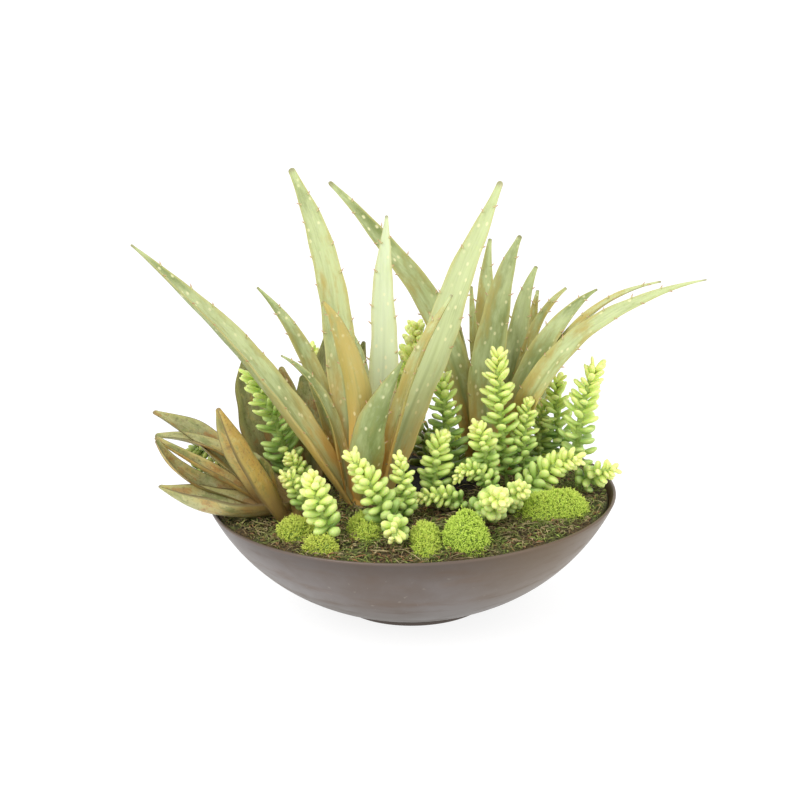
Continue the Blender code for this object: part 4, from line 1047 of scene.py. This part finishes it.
# Painted shade: sprigs that stand in shade turn dark olive.
shaded_olive = jade.mix(tip.step(0.1, 1.0), (0.070, 0.085, 0.016), (0.300, 0.310, 0.050))
shade = jade.mix(jade.field("old").step(0.25, 0.80) * 0.80, shade, shaded_olive)
film = jade.noise(jade.place(), 500.0, 3.0, 0.6)
shade = jade.mix(film.step(0.55, 0.80) * 0.15, shade, (0.66, 0.76, 0.55))
jade.put("Base Color", shade)
jade.put("Roughness", 0.34 + 0.20 * film)
stalk = Finish("stonecrop_stem", 0.6)
bands = stalk.noise(stalk.place((1, 1, 2)), 300.0, 2.0)
stalk.put("Base Color", stalk.mix(bands.step(0.35, 0.7), (0.28, 0.39, 0.085), (0.42, 0.54, 0.14)))


# %% Leaves round a stem
BLADE_CLEARANCE = 1.5 * MM
GROUND_CLEARANCE = 3 * MM


def tree_of(obj):
    """A tree of an object's faces that rays can be sent through."""
    graph = bpy.context.evaluated_depsgraph_get()
    return BVHTree.FromObject(obj, graph)


blade_trees = [tree_of(obj) for obj in blades]


def has_room(foot, way, length):
    """Whether a leaf can run from foot along way without meeting a blade or the moss."""
    start, heading = Vector(foot), Vector(way)
    if any(tree.ray_cast(start, heading, length + BLADE_CLEARANCE)[0] is not None for tree in blade_trees):
        return False
    end = foot + way * length
    floor = RIM_HEIGHT if math.hypot(end[0], end[1]) > BED_RADIUS else bed_height(end[0], end[1])
    return end[2] > floor + GROUND_CLEARANCE


# %% Which way the leaves point
def leaf_ways(along, count, share, droop, leafy):
    """Directions of the leaves: turned round the stem by the golden angle, and spread from it by an angle
    that closes from the base of the sprig to its bud, less on a short stem, and has droop degrees added.
    Each row gives one choice of how far a leaf is turned in, and the last array has the directions square
    to the stem."""
    closing = SPREAD[1] * min(1, leafy / FULL_STEM)
    across = unit(np.cross(along, (0.31, 0.93, 0.20)))
    third = np.cross(along, across)
    a = GOLDEN * np.arange(count)[:, None] + luck.uniform(-0.35, 0.35, (count, 1))
    outward = np.cos(a) * across + np.sin(a) * third
    spread = SPREAD[0] + droop * (1 - share) - closing * share**2 + luck.uniform(-14, 14, count)
    choices = []
    for turned_in in TURNED_IN:
        angle = np.radians(np.maximum(0, spread - turned_in))[:, None]
        choices.append(unit(outward * np.sin(angle) + along * np.cos(angle)))
    return choices, outward


# %% One sprig
LEAF_STATIONS = np.array([0.0, 0.20, 0.45, 0.68, 0.85, 0.95, 1.0])
PLUMPNESS = np.array([0.38, 0.62, 0.88, 1.0, 0.92, 0.66, 0.34])


def sprig(name, plan):
    """One sprig as a stem and its leaves. Each leaf is a plump tube that leaves the stem along its way and
    bends up by curl times the share squared. It tries its ways in turn, and is left out where none has room.
    Returns how many were left out."""
    (x, y), middle, tip, leaf_length, first, old, loose = plan
    collar = np.array((x * MM, y * MM, STEM_COLLAR))
    middle, tip = np.array(middle) * MM, np.array(tip) * MM
    leafy = (np.linalg.norm(middle - collar) + np.linalg.norm(tip - middle)) * (1 - first)
    count = int(leafy / (LEAF_PITCH * (1 + LOOSE_PITCH * loose)))
    share = np.linspace(0, 1, count)
    feet, along = bend(collar, middle, tip, first + (1 - first) * share * 0.985)
    choices, outward = leaf_ways(along, count, share, 10 * old + 8 * loose, leafy)
    length = leaf_length * MM * (1 + 0.08 * loose - 0.38 * share**2) * luck.uniform(0.84, 1.10, count)
    keep, ways = [], np.zeros((count, 3))
    for i in range(count):
        for choice in choices:
            if has_room(feet[i], choice[i], length[i]):
                ways[i] = choice[i]
                keep.append(i)
                break
    feet, along, ways, outward, length, share = (v[keep] for v in (feet, along, ways, outward, length, share))
    n = len(keep)
    s = LEAF_STATIONS
    curl = (0.26 + 0.16 * loose) * (1 - 0.8 * share)[:, None, None]
    paths = feet[:, None] + length[:, None, None] * (
        ways[:, None] * s[None, :, None] + along[:, None] * curl * s[None, :, None] ** 2
    )
    width = LEAF_WIDTH_SHARE * leaf_length * MM / 2 * (1 - 0.15 * old) * (1 - 0.46 * share**1.5)
    width = width * luck.uniform(0.88, 1.10, n)
    over = unit(along - 0.01 * outward)
    flatness = LEAF_FLATNESS - LOOSE_FLATNESS * loose
    points, quads, tris = tubes(paths, width[:, None] * PLUMPNESS, 7, over, flatness)
    leaves = {
        "points": points, "quads": quads, "tris": tris,
        "share": along_rows(np.tile(s, (n, 1)), 7),
        # Painted shade: the height on the sprig is lowered for sprigs that stand in shade.
        "height": per_path(share * (1 - old) - 0.4 * old, points),
        "tone": per_path(luck.random(n), points),
        "old": np.full(points.shape[:2], old),
    }
    t = np.linspace(0, 1, 14)
    stem, _ = bend(collar, middle, tip, t)
    stem = np.concatenate([[collar * (1, 1, 0) + (0, 0, STEM_BASE)], stem])[None]
    core = np.clip((t - first) / 0.12, 0, 1) * (3.6 - 1.6 * t**3)
    thick = np.concatenate([[1.9], np.maximum(1.9, core)])[None] * MM
    points, quads, tris = tubes(stem, thick, 7, np.array([[0.3, 0.95, 0.1]]))
    piece(name + "_stem", "stonecrop", [name], stalk.material, points[0], quads, tris)
    piece(name + "_leaves", "stonecrop", [name], jade.material, **joined(leaves))
    return count - n


# %% Grow the sprigs
dropped = [sprig(f"stonecrop_{i + 1:02d}", plan) for i, plan in enumerate(SPRIGS)]
print("leaves left out for want of room:", sum(dropped))

# %% [markdown]
# ## Studio
# The dish stands on a pale floor in soft light from all sides, a little stronger from the left and the front,
# which is why its shadows are faint. The camera stands where the photographer stood: a little above the rim.

# %% Floor
bpy.ops.mesh.primitive_plane_add(size=60)
floor = bpy.context.object
floor.name = "studio_floor"
paper = Finish("studio_paper", 0.9)
grain = paper.noise(paper.place(), 3.0)
paper.put("Base Color", paper.mix(grain, (0.23, 0.23, 0.23), (0.25, 0.25, 0.25)))
paper.put("Emission Color", (1.0, 1.0, 1.0))
paper.put("Emission Strength", 0.86)
floor.data.materials.append(paper.material)

# %% Light
world = bpy.data.worlds.new("soft_sky")
world.use_nodes = True
world.node_tree.nodes["Background"].inputs["Color"].default_value = (1, 1, 1, 1)
world.node_tree.nodes["Background"].inputs["Strength"].default_value = 1.0
bpy.context.scene.world = world
bpy.context.scene.view_settings.view_transform = "Standard"


def soft_box(name, place, size, power):
    """A square area light that looks at the middle of the dish."""
    lamp = bpy.data.lights.new(name, "AREA")
    lamp.size = size
    lamp.energy = power
    obj = bpy.data.objects.new(name, lamp)
    obj.location = place
    aim = Vector((0, 0, 0.15)) - Vector(place)
    obj.rotation_euler = aim.to_track_quat("-Z", "Y").to_euler()
    bpy.context.scene.collection.objects.link(obj)


soft_box("key_light", (-1.3, -1.5, 1.9), 1.4, 30)
soft_box("fill_light", (1.6, -1.2, 1.2), 1.6, 8)

# %% Camera
CAMERA_SPOT = (-0.010, -1.525, 0.636)
PITCH = math.radians(15.65)
ROLL = math.radians(-1.5)
lens = bpy.data.cameras.new("camera")
lens.lens = 72
lens.sensor_width = 36
lens.sensor_fit = "HORIZONTAL"
camera = bpy.data.objects.new("camera", lens)
ahead = Vector((0, math.cos(PITCH), -math.sin(PITCH)))
right = Vector((1, 0, 0))
above = right.cross(ahead)
right, above = (
    math.cos(ROLL) * right + math.sin(ROLL) * above,
    -math.sin(ROLL) * right + math.cos(ROLL) * above,
)
turned_axes = Matrix((right, above, -ahead)).transposed().to_4x4()
camera.matrix_world = Matrix.Translation(CAMERA_SPOT) @ turned_axes
bpy.context.scene.collection.objects.link(camera)
bpy.context.scene.camera = camera
print("camera at", CAMERA_SPOT, "with a lens of", lens.lens, "mm")
